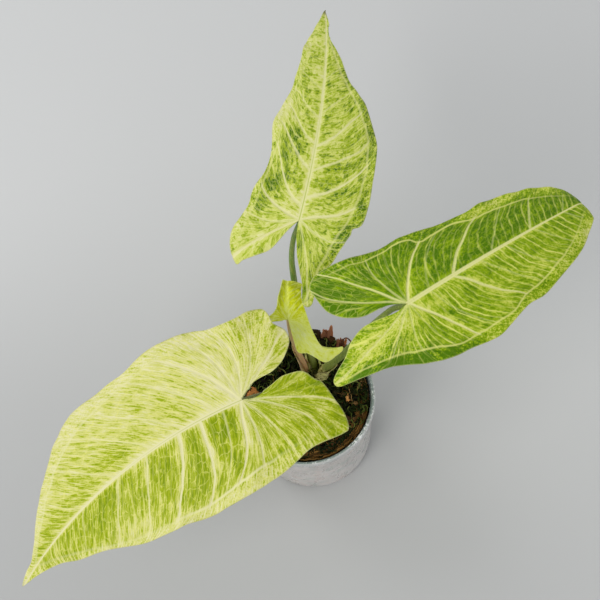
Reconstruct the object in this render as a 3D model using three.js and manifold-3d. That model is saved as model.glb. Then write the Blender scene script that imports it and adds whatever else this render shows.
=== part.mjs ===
// Arrowhead plant (Syngonium) in a small tapered nursery pot.
// Millimetres, +Z up. Origin: centre of the flat underside of the pot, on the surface it stands on.
// The plant has three large arrow-shaped leaves and one young leaf, each a blade on its own petiole.

import * as THREE from 'three';
import { mergeVertices } from 'three/addons/utils/BufferGeometryUtils.js';
import Module from 'manifold-3d';

const wasm = await Module();
wasm.setup();

// ---------------------------------------------------------------- driving dimensions

const gap = 0.3; // clearance between pieces that touch

const pot = {
  height: 56,
  rimRadius: 30.2, // outside of the rolled rim
  rimDepth: 3.6,
  rimRound: 0.7,
  rimLedge: 0.3,
  shoulderRadius: 28.9, // outside of the wall just under the rim
  footRadius: 25.8,
  wall: 0.9,
  floor: 1.2,
  cornerRadius: 2.2,
  segments: 56,
  drainHoles: 6,
  drainRadius: 2,
  drainCircle: 17,
};

const soil = {
  level: 50.5, // at the front of the pot
  backRise: 8, // how much higher the mix is heaped at the back
  heap: [-8, 24], // the y at which the heap starts and where it is full
  edgeGap: 0.4, // between the top of the mix and the wall
  crumble: 0.9, // height of the lumps
  rings: 9,
  sectors: 40,
};

const crown = {
  centre: [6.4, 9.2],
  radius: 5.4,
  footZ: 38,
  topZ: 60.5,
  bevel: 3,
};

// Chips of bark: place on the mix, length, width, thickness, turn about Z and tilt in degrees.
const barkChips = [
  { at: [-20.5, 6.5], size: [6.2, 4.8, 2.6], turn: 60, tilt: 18 },
  { at: [10.0, 25.6], size: [6.4, 4.2, 2.8], turn: -12, tilt: 24 },
  { at: [15.8, 22.0], size: [5.2, 4.0, 2.6], turn: -50, tilt: 20 },
  { at: [17.6, -3.2], size: [3.4, 1.8, 1.6], turn: 80, tilt: 12 },
  { at: [15.2, -13.1], size: [6.0, 4.2, 2.4], turn: -35, tilt: 8 },
  { at: [8.2, -22.5], size: [8.0, 4.2, 2.4], turn: 14, tilt: 10 },
  { at: [19.4, -16.6], size: [5.8, 3.2, 2.2], turn: 50, tilt: 10 },
];

// A blade is drawn flat: u across to the left of the midrib, v along it from the petiole (0, 0) to the tip
// (0, length). Each margin runs from the tip round the lobe to the petiole. The flat blade is then laid
// along a spine that starts at attach and follows the heading and pitch, and is folded at the midrib.
// fanStart is the share of its rows that start on the midrib; the rest fan out from the petiole.
const blades = {
  back: {
    attach: [13.8, 38.8, 151],
    length: 107,
    heading: 63.2,
    turn: 19.3,
    pitch: [6, -26],
    droop: 1,
    tipCurl: [0, 0.9],
    roll: [-6, 0],
    fold: [-6, -6],
    crease: 5,
    lobeDrop: [14, 40],
    left: [[2.5, 100], [6.5, 91], [9, 84], [11, 71], [13.5, 58.5], [16.5, 49.5], [18.5, 40.5],
      [17.5, 28.5], [18, 18], [21.5, 10], [22.5, 1.5], [25.5, -7.5], [25.5, -14], [22, -20],
      [19, -18.5], [12, -15.5], [7.5, -11.5], [3.5, -5]],
    right: [[-1, 98.5], [-0.6, 92], [-1.5, 86.5], [-5.5, 76.5], [-8, 68.5], [-10.5, 62], [-17, 51.5],
      [-20.5, 43], [-23.5, 34], [-24.5, 20.5], [-24.2, 4], [-21, 0.5], [-20.7, -3], [-16.5, -10.4],
      [-10.8, -20.2], [-9.2, -24.5], [-8.2, -27.3], [-6.4, -28.4], [-4.5, -27.8], [-3.9, -25],
      [-4.1, -22], [-3.2, -17.7], [-1.6, -13], [-0.4, -6.7]],
    fanStart: 0.56,
    firstLateral: [10, 6],
    sinusSlide: [4, 8],
    lobeBow: [0, 0],
    wave: { height: 0.9, count: 6, phase: [0.1, 0.45] },
  },
  right: {
    attach: [46, -3.6, 149.5],
    length: 101.5,
    heading: 22.9,
    turn: 3.1,
    pitch: [-8, -30],
    droop: 1,
    tipCurl: [115, 0.86],
    roll: [4, 0],
    fold: [-10, -12],
    crease: 5,
    lobeDrop: [4, 10],
    left: [[2.6, 98.5], [6.4, 94.5], [9.8, 90], [12.5, 85], [16, 76.5], [19, 65.5], [20.5, 54.5],
      [20, 43], [22, 29], [24.5, 14], [25, 5], [28, -6], [30, -18], [29, -23], [25.5, -26],
      [17.5, -26.5], [13, -25.5], [8, -21.5], [5, -16], [3.5, -7]],
    right: [[-2.6, 98.5], [-6.4, 94], [-9.4, 89.5], [-12, 85], [-15, 80], [-18, 72.5], [-21.5, 60],
      [-24, 49.5], [-24, 41.5], [-27, 29.5], [-28, 23.5], [-26.5, 12], [-25.5, 2], [-22, -7],
      [-17, -16], [-14.5, -24.5], [-11.5, -33.5], [-10, -37.5], [-7.5, -38], [-5.5, -35],
      [-3.5, -30.5], [0, -25.5], [2, -19], [1, -12.5], [-0.5, -6]],
    fanStart: 0.54,
    firstLateral: [8, 2],
    sinusSlide: [10, 10],
    lobeBow: [0, 0],
    wave: { height: 0.8, count: 6, phase: [0.3, 0.0] },
  },
  front: {
    attach: [-23.3, -17.7, 125],
    length: 123.6,
    heading: 188.2,
    turn: 27.2,
    pitch: [-8, -38],
    droop: 1,
    tipCurl: [0, 0.9],
    roll: [0, 0],
    fold: [-6, -6],
    crease: 5,
    lobeDrop: [6, 2],
    left: [[1.5, 118], [4.4, 110], [8, 102], [13, 94.3], [18.6, 81.7], [27, 65.5], [31, 50], [32, 42.5],
      [34.2, 33], [35, 20], [34.5, 8], [31.8, -5.8], [27.5, -19], [26.2, -31], [24, -34.3],
      [17.9, -35.6], [12.9, -35.6], [4.7, -33.8], [2.5, -29.7], [-2, -26], [-3.4, -19], [-2, -12.3],
      [0.5, -6]],
    right: [[-2.4, 117.3], [-3.2, 111], [-6.6, 105], [-15, 94], [-22.5, 84], [-29, 72.5], [-33.2, 62],
      [-34.2, 50], [-34.6, 37], [-37, 25], [-36.6, 11], [-33.5, 3], [-32.6, -7], [-34, -14],
      [-32.8, -19.3], [-29, -21.3], [-24.6, -21.9], [-20, -25.3], [-15, -25.3], [-9.5, -21],
      [-6, -15.5], [-4.8, -7]],
    fanStart: 0.54,
    firstLateral: [8, 4],
    sinusSlide: [9, 10],
    lobeBow: [0, 0],
    wave: { height: 1.0, count: 6, phase: [0.2, 0.6] },
  },
  young: {
    attach: [0.9, 15, 112],
    length: 34,
    heading: 80,
    turn: 0,
    pitch: [18, -138],
    droop: 1.4,
    tipCurl: [0, 0.9],
    roll: [0, 0],
    fold: [58, -26],
    crease: 3,
    lobeDrop: [10, 10],
    left: [[1.2, 31], [2, 25], [2, 17], [2.5, 12.2], [3.4, 8.4], [3.9, 4.9], [5.2, 2.6], [7.1, 1.2],
      [9.4, -0.3], [9.8, -1.8], [7.6, -1.1], [4, -0.4]],
    right: [[-2, 31], [-4.5, 26], [-5.8, 20], [-5.6, 14], [-5.8, 9], [-6.8, 4.4], [-8.1, -1], [-9.7, -6],
      [-12, -10.6], [-14.5, -12.3], [-18, -12.2], [-20.8, -12], [-20.4, -13.6], [-17.7, -15.6],
      [-14.8, -17.5], [-12.5, -17.6], [-9.5, -15.6], [-6.5, -13.8], [-3, -13.1], [-1.3, -6.6]],
    fanStart: 0.4,
    firstLateral: [5, 2],
    sinusSlide: [2, 8],
    lobeBow: [0, 0.24],
    wave: { height: 0, count: 3, phase: [0, 0] },
  },
};

const bladeMesh = { thickness: 0.7, ribDepth: 0.9, ribWidth: 1.8, rows: 28, youngRows: 20 };
const lateralBend = 0.14; // how far a lateral row bows back from its chord
const columns = [0, 0.08, 0.24, 0.44, 0.64, 0.83, 1]; // steps from the midrib to the margin

// Petioles: points from the foot in the crown up to just before the blade, and the radius at each end.
// The last point of each is found from its blade.
const petioles = {
  back: {
    route: [[6.9, 12.2, 55], [6.8, 14.2, 60.5], [6.3, 22.6, 68], [6.0, 31.8, 78], [6.7, 38.6, 93],
      [7.8, 40.6, 112], [10.3, 40.2, 132]],
    radius: [1.7, 1.1],
  },
  right: {
    route: [[9.2, 8.4, 55], [9.8, 7.9, 61], [12.3, 6.2, 71], [20.5, 4.2, 89], [31.3, 3.0, 114],
      [40.2, 0.3, 136]],
    radius: [1.8, 1.2],
  },
  front: {
    route: [[4.2, 6.8, 55], [2.9, 5.6, 61.5], [-1.9, 0.5, 74], [-9.4, -6.9, 93], [-17.0, -13.3, 111.5]],
    radius: [1.7, 1.3],
  },
  young: {
    route: [[3.4, 11.0, 55], [2.9, 11.7, 62], [1.6, 12.9, 78], [0.5, 14.4, 95]],
    radius: [1.2, 0.9],
  },
};
const petioleMesh = { sides: 10, steps: 26 };

// The sheath is the flattened foot of the right leaf's petiole, which clasps the other stalks.
const sheaths = {
  right: { from: 0.015, to: 0.17, radius: 3.3, wall: 0.9, opening: 150, turn: 20 },
};

const colour = {
  potPlastic: '#c9cbc9',
  soil: '#2a2118',
  bark: '#8c5530',
  crown: '#6f7a45',
  backBlade: '#b9cc6e',
  rightBlade: '#7fa62c',
  frontBlade: '#cfd98c',
  youngBlade: '#c6d25f',
  backPetiole: '#7c8f63',
  rightPetiole: '#6b7340',
  frontPetiole: '#8a9a58',
  youngPetiole: '#a9806c',
};

// ---------------------------------------------------------------- small helpers

const radians = THREE.MathUtils.degToRad;
const lerp = THREE.MathUtils.lerp;
const clamp01 = (x) => THREE.MathUtils.clamp(x, 0, 1);
const vector = (p) => new THREE.Vector3(...p);

function randomFrom(seed) {
  let state = seed;
  return () => {
    state = (state * 1664525 + 1013904223) % 4294967296;
    return state / 4294967296;
  };
}

function solidOf(geometry) {
  const bare = geometry.clone();
  bare.deleteAttribute('normal');
  bare.deleteAttribute('uv');
  const merged = mergeVertices(bare, 1e-4);
  return new wasm.Manifold(new wasm.Mesh({
    numProp: 3,
    vertProperties: new Float32Array(merged.attributes.position.array),
    triVerts: new Uint32Array(merged.index.array),
  }));
}

function geometryOf(solid) {
  const mesh = solid.getMesh();
  const geometry = new THREE.BufferGeometry();
  geometry.setAttribute('position', new THREE.BufferAttribute(new Float32Array(mesh.vertProperties), 3));
  geometry.setIndex(new THREE.BufferAttribute(new Uint32Array(mesh.triVerts), 1));
  geometry.computeVertexNormals();
  return geometry;
}

function indexed(points, triangles) {
  const geometry = new THREE.BufferGeometry();
  geometry.setAttribute('position', new THREE.Float32BufferAttribute(points.flat(), 3));
  geometry.setIndex(triangles.flat());
  return geometry;
}

const part = new THREE.Group();

function addPiece(name, geometry, color, roughness) {
  const material = new THREE.MeshStandardMaterial({ color, roughness, metalness: 0 });
  const mesh = new THREE.Mesh(geometry, material);
  mesh.name = name;
  part.add(mesh);
}

function cylinderAt(radius, fromZ, toZ, x, y, sides) {
  const geometry = new THREE.CylinderGeometry(radius, radius, toZ - fromZ, sides);
  geometry.rotateX(Math.PI / 2);
  geometry.translate(x, y, (fromZ + toZ) / 2);
  return solidOf(geometry);
}

// ---------------------------------------------------------------- pot

// Radius of the pot's outer wall at a height.
const outerWallAt = (z) => lerp(pot.footRadius, pot.shoulderRadius, z / (pot.height - pot.rimDepth));

function potSolid() {
  const rimFoot = pot.height - pot.rimDepth;
  const corner = pot.cornerRadius;
  const profile = [[0, 0], [pot.footRadius - corner, 0]];
  for (const angle of [-60, -30]) {
    const a = radians(angle);
    profile.push([pot.footRadius - corner + corner * Math.cos(a), corner + corner * Math.sin(a)]);
  }
  profile.push([outerWallAt(corner), corner]);
  profile.push([pot.shoulderRadius, rimFoot]);
  profile.push([pot.rimRadius - pot.rimRound, rimFoot + pot.rimLedge]);
  profile.push([pot.rimRadius, rimFoot + pot.rimLedge + pot.rimRound]);
  profile.push([pot.rimRadius, pot.height - pot.rimRound]);
  profile.push([pot.rimRadius - pot.rimRound, pot.height]);
  profile.push([pot.shoulderRadius - pot.rimLedge, pot.height]);
  profile.push([pot.shoulderRadius - pot.wall, rimFoot]);
  profile.push([outerWallAt(corner) - pot.wall, corner + pot.floor]);
  profile.push([pot.footRadius - corner, pot.floor]);
  profile.push([0, pot.floor]);
  const points = profile.map(([r, z]) => new THREE.Vector2(r, z));
  const geometry = new THREE.LatheGeometry(points, pot.segments);
  geometry.rotateX(Math.PI / 2);
  let solid = solidOf(geometry);
  for (let i = 0; i < pot.drainHoles; i += 1) {
    const a = (i * 2 * Math.PI) / pot.drainHoles;
    const x = pot.drainCircle * Math.cos(a);
    const y = pot.drainCircle * Math.sin(a);
    solid = solid.subtract(cylinderAt(pot.drainRadius, -1, pot.floor + 1, x, y, 12));
  }
  return solid;
}

// ---------------------------------------------------------------- potting mix

// Height of the mix: heaped towards the back, with lumps made of crossed waves.
function soilHeight(x, y) {
  const heap = soil.backRise * THREE.MathUtils.smoothstep(y, ...soil.heap);
  const lumps = Math.sin(0.61 * x + 1.3) * Math.sin(0.53 * y + 0.4) + 0.6 * Math.sin(1.13 * x - 0.9 * y);
  return soil.level + heap + soil.crumble * lumps * 0.7;
}

function soilSolid() {
  const inside = (z) => outerWallAt(z) - pot.wall - gap;
  const topRadius = outerWallAt(soil.level) - pot.wall - soil.edgeGap;
  const floorZ = pot.floor + gap;
  const floorRadius = pot.footRadius - pot.cornerRadius - gap;
  const cornerZ = pot.cornerRadius + pot.floor;
  const points = [];
  const triangles = [];
  const ringStarts = [];
  const addRing = (radius, zAt) => {
    ringStarts.push(points.length);
    for (let k = 0; k < soil.sectors; k += 1) {
      const a = (k * 2 * Math.PI) / soil.sectors;
      const x = radius * Math.cos(a);
      const y = radius * Math.sin(a);
      points.push([x, y, zAt(x, y)]);
    }
  };
  addRing(floorRadius, () => floorZ);
  addRing(inside(cornerZ) - 0.2, () => cornerZ + gap);
  for (let i = soil.rings; i >= 1; i -= 1) {
    const share = i / soil.rings;
    addRing(share * topRadius, soilHeight);
  }
  for (let i = 0; i + 1 < ringStarts.length; i += 1) {
    for (let k = 0; k < soil.sectors; k += 1) {
      const next = (k + 1) % soil.sectors;
      const a = ringStarts[i] + k;
      const b = ringStarts[i] + next;
      const c = ringStarts[i + 1] + next;
      const d = ringStarts[i + 1] + k;
      triangles.push([a, b, c], [a, c, d]);
    }
  }
  const bottom = points.length;
  points.push([0, 0, floorZ]);
  const top = points.length;
  points.push([0, 0, soilHeight(0, 0)]);
  const last = ringStarts[ringStarts.length - 1];
  for (let k = 0; k < soil.sectors; k += 1) {
    const next = (k + 1) % soil.sectors;
    triangles.push([bottom, ringStarts[0] + next, ringStarts[0] + k]);
    triangles.push([top, last + k, last + next]);
  }
  return solidOf(indexed(points, triangles));
}

// ---------------------------------------------------------------- bark chips

// A chip is a twenty-sided lump, flattened to its size and roughened, and set half into the mix.
function chipGeometry(chip, index, grow) {
  const random = randomFrom(41 + 17 * index);
  const geometry = mergeVertices(bareIcosahedron(), 1e-4);
  const position = geometry.attributes.position;
  for (let i = 0; i < position.count; i += 1) {
    const rough = 0.82 + 0.36 * random();
    position.setXYZ(
      i,
      position.getX(i) * ((chip.size[0] / 2) * rough + 1.3 * grow),
      position.getY(i) * ((chip.size[1] / 2) * rough + 1.3 * grow),
      position.getZ(i) * ((chip.size[2] / 2) * rough + 1.3 * grow),
    );
  }
  geometry.rotateX(radians(chip.tilt));
  geometry.rotateZ(radians(chip.turn));
  const [x, y] = chip.at;
  geometry.translate(x, y, soilHeight(x, y) + 0.28 * chip.size[2]);
  return geometry;
}

function bareIcosahedron() {
  const geometry = new THREE.IcosahedronGeometry(1, 1);
  geometry.deleteAttribute('normal');
  geometry.deleteAttribute('uv');
  return geometry;
}

// ---------------------------------------------------------------- blades

// Place, direction, left side and normal of the blade's spine at v.
function spineOf(blade) {
  const steps = 60;
  const angles = (share) => {
    const curl = ((clamp01(share) - blade.tipCurl[1]) / (1 - blade.tipCurl[1]));
    const bend = lerp(blade.pitch[0], blade.pitch[1], clamp01(share) ** blade.droop);
    return {
      pitch: radians(bend - blade.tipCurl[0] * clamp01(curl) ** 1.3),
      heading: radians(blade.heading + blade.turn * clamp01(share)),
      roll: radians(lerp(blade.roll[0], blade.roll[1], clamp01(share))),
    };
  };
  const along = ({ pitch, heading }) => new THREE.Vector3(
    Math.cos(pitch) * Math.cos(heading),
    Math.cos(pitch) * Math.sin(heading),
    Math.sin(pitch),
  );
  const places = [vector(blade.attach)];
  for (let i = 0; i < steps; i += 1) {
    const step = along(angles(i / steps)).add(along(angles((i + 1) / steps)));
    places.push(places[i].clone().addScaledVector(step, blade.length / steps / 2));
  }
  return (v) => {
    const share = v / blade.length;
    const at = clamp01(share) * steps;
    const low = Math.min(Math.floor(at), steps - 1);
    const turned = angles(share);
    const direction = along(turned);
    const level = new THREE.Vector3(-Math.sin(turned.heading), Math.cos(turned.heading), 0);
    const up = direction.clone().cross(level);
    const left = level.multiplyScalar(Math.cos(turned.roll)).addScaledVector(up, Math.sin(turned.roll));
    const place = places[low].clone().lerp(places[low + 1], at - low);
    place.addScaledVector(direction, Math.min(v, 0));
    return { place, direction, left, normal: direction.clone().cross(left) };
  };
}

// The upper face of the blade, folded at the midrib and with its lobes hanging.
function faceOf(blade) {
  const spine = spineOf(blade);
  return (side, u, v) => {
    const { place, left, normal } = spine(v);
    const across = Math.sqrt(u * u + blade.crease ** 2) - blade.crease;
    const hang = blade.lobeDrop[side] * (Math.min(v, 0) / 40) ** 2;
    const lift = across * Math.tan(radians(blade.fold[side])) - hang;
    return place.addScaledVector(left, u).addScaledVector(normal, lift);
  };
}

function faceNormal(face, side, u, v) {
  const step = 0.2;
  const across = face(side, u + step, v).sub(face(side, u - step, v));
  const along = face(side, u, v + step).sub(face(side, u, v - step));
  return along.cross(across).normalize();
}

// Rows of flat points from the midrib to one margin. They run as the side veins do.
function flatRows(blade, side, rows) {
  const { fanStart } = blade;
  const margin = side === 0 ? blade.left : blade.right;
  const outline = [[0, blade.length], ...margin, [0, 0]].map(([u, v]) => new THREE.Vector2(u, v));
  const curve = new THREE.SplineCurve(outline);
  curve.arcLengthDivisions = 12 * (outline.length - 1);
  const lengths = curve.getLengths();
  const total = lengths[lengths.length - 1];
  const samples = curve.getPoints(curve.arcLengthDivisions);
  const landing = samples.findIndex((p) => p.y < blade.firstLateral[side]);
  const firstShare = lengths[landing] / total;
  const lastShare = 1 - blade.sinusSlide[side] / total;
  const inward = side === 0 ? -1 : 1;
  const result = [];
  for (let i = 0; i <= rows; i += 1) {
    const share = i / rows;
    const fan = Math.max(0, (share - fanStart) / (1 - fanStart));
    const slide = THREE.MathUtils.smoothstep(fan, 0.6, 1);
    const onMidrib = new THREE.Vector2(0, blade.length * Math.max(0, 1 - share / fanStart));
    const start = fan > 0.6 ? curve.getPointAt(1 - (1 - lastShare) * slide) : onMidrib;
    const reach = share < fanStart ? (firstShare * share) / fanStart : lerp(firstShare, lastShare, fan);
    const end = curve.getPointAt(reach);
    const chord = end.clone().sub(start);
    const middle = start.clone().addScaledVector(chord, 0.5);
    middle.y -= lateralBend * chord.length() * clamp01(1 - 1.5 * fan);
    const bow = blade.lobeBow[side] * 2 * Math.sin(Math.PI * fan) * inward;
    middle.add(new THREE.Vector2(-chord.y, chord.x).multiplyScalar(bow));
    const row = columns.map((t) => start.clone().multiplyScalar((1 - t) ** 2)
      .addScaledVector(middle, 2 * t * (1 - t))
      .addScaledVector(end, t * t));
    result.push(row);
  }
  return result;
}

function bladeSolid(blade, rows) {
  const face = faceOf(blade);
  const spine = spineOf(blade);
  const found = new Map();
  const upper = [];
  const lower = [];
  const vertexAt = (point, under) => {
    const key = point.toArray().map((x) => Math.round(x * 200)).join(' ');
    if (!found.has(key)) {
      found.set(key, upper.length);
      upper.push(point.toArray());
      lower.push(under.toArray());
    }
    return found.get(key);
  };
  const triangles = [];
  for (const side of [0, 1]) {
    const grid = flatRows(blade, side, rows).map((row, i) => row.map((flat, j) => {
      const ripple = Math.sin(2 * Math.PI * ((blade.wave.count * i) / rows + blade.wave.phase[side]));
      const lift = blade.wave.height * Math.sin((Math.PI * i) / rows) ** 0.5 * columns[j] ** 2.5 * ripple;
      const point = face(side, flat.x, flat.y).addScaledVector(spine(flat.y).normal, lift);
      const rib = bladeMesh.ribDepth * clamp01(1 - flat.y / blade.length)
        * Math.exp(-((flat.x / bladeMesh.ribWidth) ** 2)) * (flat.y >= 0 ? 1 : 0);
      const depth = bladeMesh.thickness + rib;
      const under = point.clone().addScaledVector(faceNormal(face, side, flat.x, flat.y), -depth);
      return vertexAt(point, under);
    }));
    for (let i = 0; i < rows; i += 1) {
      for (let j = 0; j + 1 < columns.length; j += 1) {
        const quad = [grid[i][j], grid[i + 1][j], grid[i + 1][j + 1], grid[i][j + 1]];
        for (const [a, b, c] of [[0, 1, 2], [0, 2, 3]]) {
          const corner = [quad[a], quad[b], quad[c]];
          if (new Set(corner).size < 3) continue;
          triangles.push(side === 0 ? [corner[0], corner[2], corner[1]] : corner);
        }
      }
    }
  }
  // The under face repeats the upper one, and a narrow wall closes the open edge all round.
  const count = upper.length;
  const edges = new Set(triangles.flatMap(([a, b, c]) => [`${a} ${b}`, `${b} ${c}`, `${c} ${a}`]));
  const shell = triangles.map((t) => [...t]);
  for (const [a, b, c] of triangles) shell.push([a + count, c + count, b + count]);
  for (const edge of edges) {
    const [a, b] = edge.split(' ').map(Number);
    if (edges.has(`${b} ${a}`)) continue;
    shell.push([b, a, a + count], [b, a + count, b + count]);
  }
  return solidOf(indexed([...upper, ...lower], shell));
}

// ---------------------------------------------------------------- petioles, crown and sheath

function sweep(route, section, steps, scaleAt) {
  const path = new THREE.CatmullRomCurve3(route.map(vector), false, 'catmullrom', 0.5);
  const shape = new THREE.Shape(section.map(([x, y]) => new THREE.Vector2(x, y)));
  const geometry = new THREE.ExtrudeGeometry(shape, { steps, extrudePath: path, bevelEnabled: false });
  geometry.deleteAttribute('normal');
  geometry.deleteAttribute('uv');
  const merged = mergeVertices(geometry, 1e-4);
  const centres = path.getSpacedPoints(steps);
  const position = merged.attributes.position;
  const point = new THREE.Vector3();
  for (let i = 0; i < position.count; i += 1) {
    point.fromBufferAttribute(position, i);
    let nearest = 0;
    for (let k = 1; k <= steps; k += 1) {
      if (centres[k].distanceTo(point) < centres[nearest].distanceTo(point)) nearest = k;
    }
    point.sub(centres[nearest]).multiplyScalar(scaleAt(nearest / steps)).add(centres[nearest]);
    position.setXYZ(i, point.x, point.y, point.z);
  }
  return merged;
}

function roundSection(radius, sides) {
  const section = [];
  for (let i = 0; i < sides; i += 1) {
    const a = (i * 2 * Math.PI) / sides;
    section.push([radius * Math.cos(a), radius * Math.sin(a)]);
  }
  return section;
}

// The petiole's route with its head, which ends just under the rib of the blade.
function routeOf(name) {
  const { route, radius } = petioles[name];
  const { place, normal } = spineOf(blades[name])(0);
  const arrival = place.clone().sub(vector(route[route.length - 1])).normalize();
  const slant = Math.sqrt(1 - arrival.dot(normal) ** 2);
  const depth = bladeMesh.thickness + bladeMesh.ribDepth + gap + radius[1] * slant;
  return [...route, place.addScaledVector(normal, -depth).toArray()];
}

function petioleSolid(name, grow) {
  const [foot, head] = petioles[name].radius;
  const section = roundSection(foot, petioleMesh.sides);
  const scaleAt = (share) => (lerp(foot, head, Math.min(1, share * 1.4)) + grow) / foot;
  const route = routeOf(name);
  route[0] = [route[0][0], route[0][1], route[0][2] - grow];
  return solidOf(sweep(route, section, petioleMesh.steps, scaleAt));
}

// A gutter-shaped sheath that follows the lower part of a petiole.
function sheathSolid(name, sheath) {
  const path = new THREE.CatmullRomCurve3(routeOf(name).map(vector), false, 'catmullrom', 0.5);
  const route = [];
  for (let i = 0; i <= 4; i += 1) {
    route.push(path.getPointAt(lerp(sheath.from, sheath.to, i / 4)).toArray());
  }
  const section = [];
  const turns = 9;
  for (const [radius, order] of [[sheath.radius, 1], [sheath.radius - sheath.wall, -1]]) {
    for (let i = 0; i <= turns; i += 1) {
      const share = order > 0 ? i / turns : 1 - i / turns;
      const a = radians(sheath.turn + sheath.opening / 2 + share * (360 - sheath.opening));
      section.push([radius * Math.cos(a), radius * Math.sin(a)]);
    }
  }
  return solidOf(sweep(route, section, 6, (share) => 1 - 0.25 * share));
}

function crownSolid() {
  const { radius, footZ, topZ, bevel } = crown;
  const profile = [[0, footZ], [radius - bevel / 2, footZ], [radius, footZ + bevel], [radius, topZ - bevel],
    [radius * 0.8, topZ - bevel / 3], [radius * 0.45, topZ], [0, topZ]];
  const geometry = new THREE.LatheGeometry(profile.map(([r, z]) => new THREE.Vector2(r, z)), 20);
  geometry.rotateX(Math.PI / 2);
  geometry.translate(crown.centre[0], crown.centre[1], 0);
  let solid = solidOf(geometry);
  for (const [name, sheath] of Object.entries(sheaths)) {
    solid = solid.add(sheathSolid(name, sheath));
  }
  for (const name of Object.keys(petioles)) solid = solid.subtract(petioleSolid(name, gap));
  return solid;
}

// ---------------------------------------------------------------- assembly

const crownHole = cylinderAt(crown.radius + 2 * gap, crown.footZ - gap, crown.topZ + 10, ...crown.centre, 24);
let mix = soilSolid().subtract(crownHole);
for (const [i, chip] of barkChips.entries()) mix = mix.subtract(solidOf(chipGeometry(chip, i, gap)));

addPiece('pot', geometryOf(potSolid()), colour.potPlastic, 0.4);
addPiece('potting_mix', geometryOf(mix), colour.soil, 0.95);
for (const [i, chip] of barkChips.entries()) {
  addPiece(`bark_chip_${i + 1}`, geometryOf(solidOf(chipGeometry(chip, i, 0))), colour.bark, 0.9);
}
addPiece('crown', geometryOf(crownSolid()), colour.crown, 0.6);
for (const name of Object.keys(blades)) {
  const rows = name === 'young' ? bladeMesh.youngRows : bladeMesh.rows;
  addPiece(`blade_${name}`, geometryOf(bladeSolid(blades[name], rows)), colour[`${name}Blade`], 0.45);
  addPiece(`petiole_${name}`, geometryOf(petioleSolid(name, 0)), colour[`${name}Petiole`], 0.5);
}

export default part;
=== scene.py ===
import math

import bmesh
import bpy
import numpy as np
from mathutils import Matrix, Vector, noise


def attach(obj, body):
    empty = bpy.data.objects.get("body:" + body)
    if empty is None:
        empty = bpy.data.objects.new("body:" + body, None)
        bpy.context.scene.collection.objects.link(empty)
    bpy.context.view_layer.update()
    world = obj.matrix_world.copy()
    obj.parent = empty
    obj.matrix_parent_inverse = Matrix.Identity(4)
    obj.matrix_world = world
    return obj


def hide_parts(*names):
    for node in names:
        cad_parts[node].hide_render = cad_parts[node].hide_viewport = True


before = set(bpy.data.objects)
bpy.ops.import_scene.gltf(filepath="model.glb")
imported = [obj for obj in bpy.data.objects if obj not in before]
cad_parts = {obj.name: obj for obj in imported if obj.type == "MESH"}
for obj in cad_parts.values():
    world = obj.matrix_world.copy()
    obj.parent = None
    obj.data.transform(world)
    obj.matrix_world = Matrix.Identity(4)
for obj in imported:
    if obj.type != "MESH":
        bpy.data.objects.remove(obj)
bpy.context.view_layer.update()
mm = 0.001  # lengths below are in millimetres, Blender's are in metres


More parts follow.
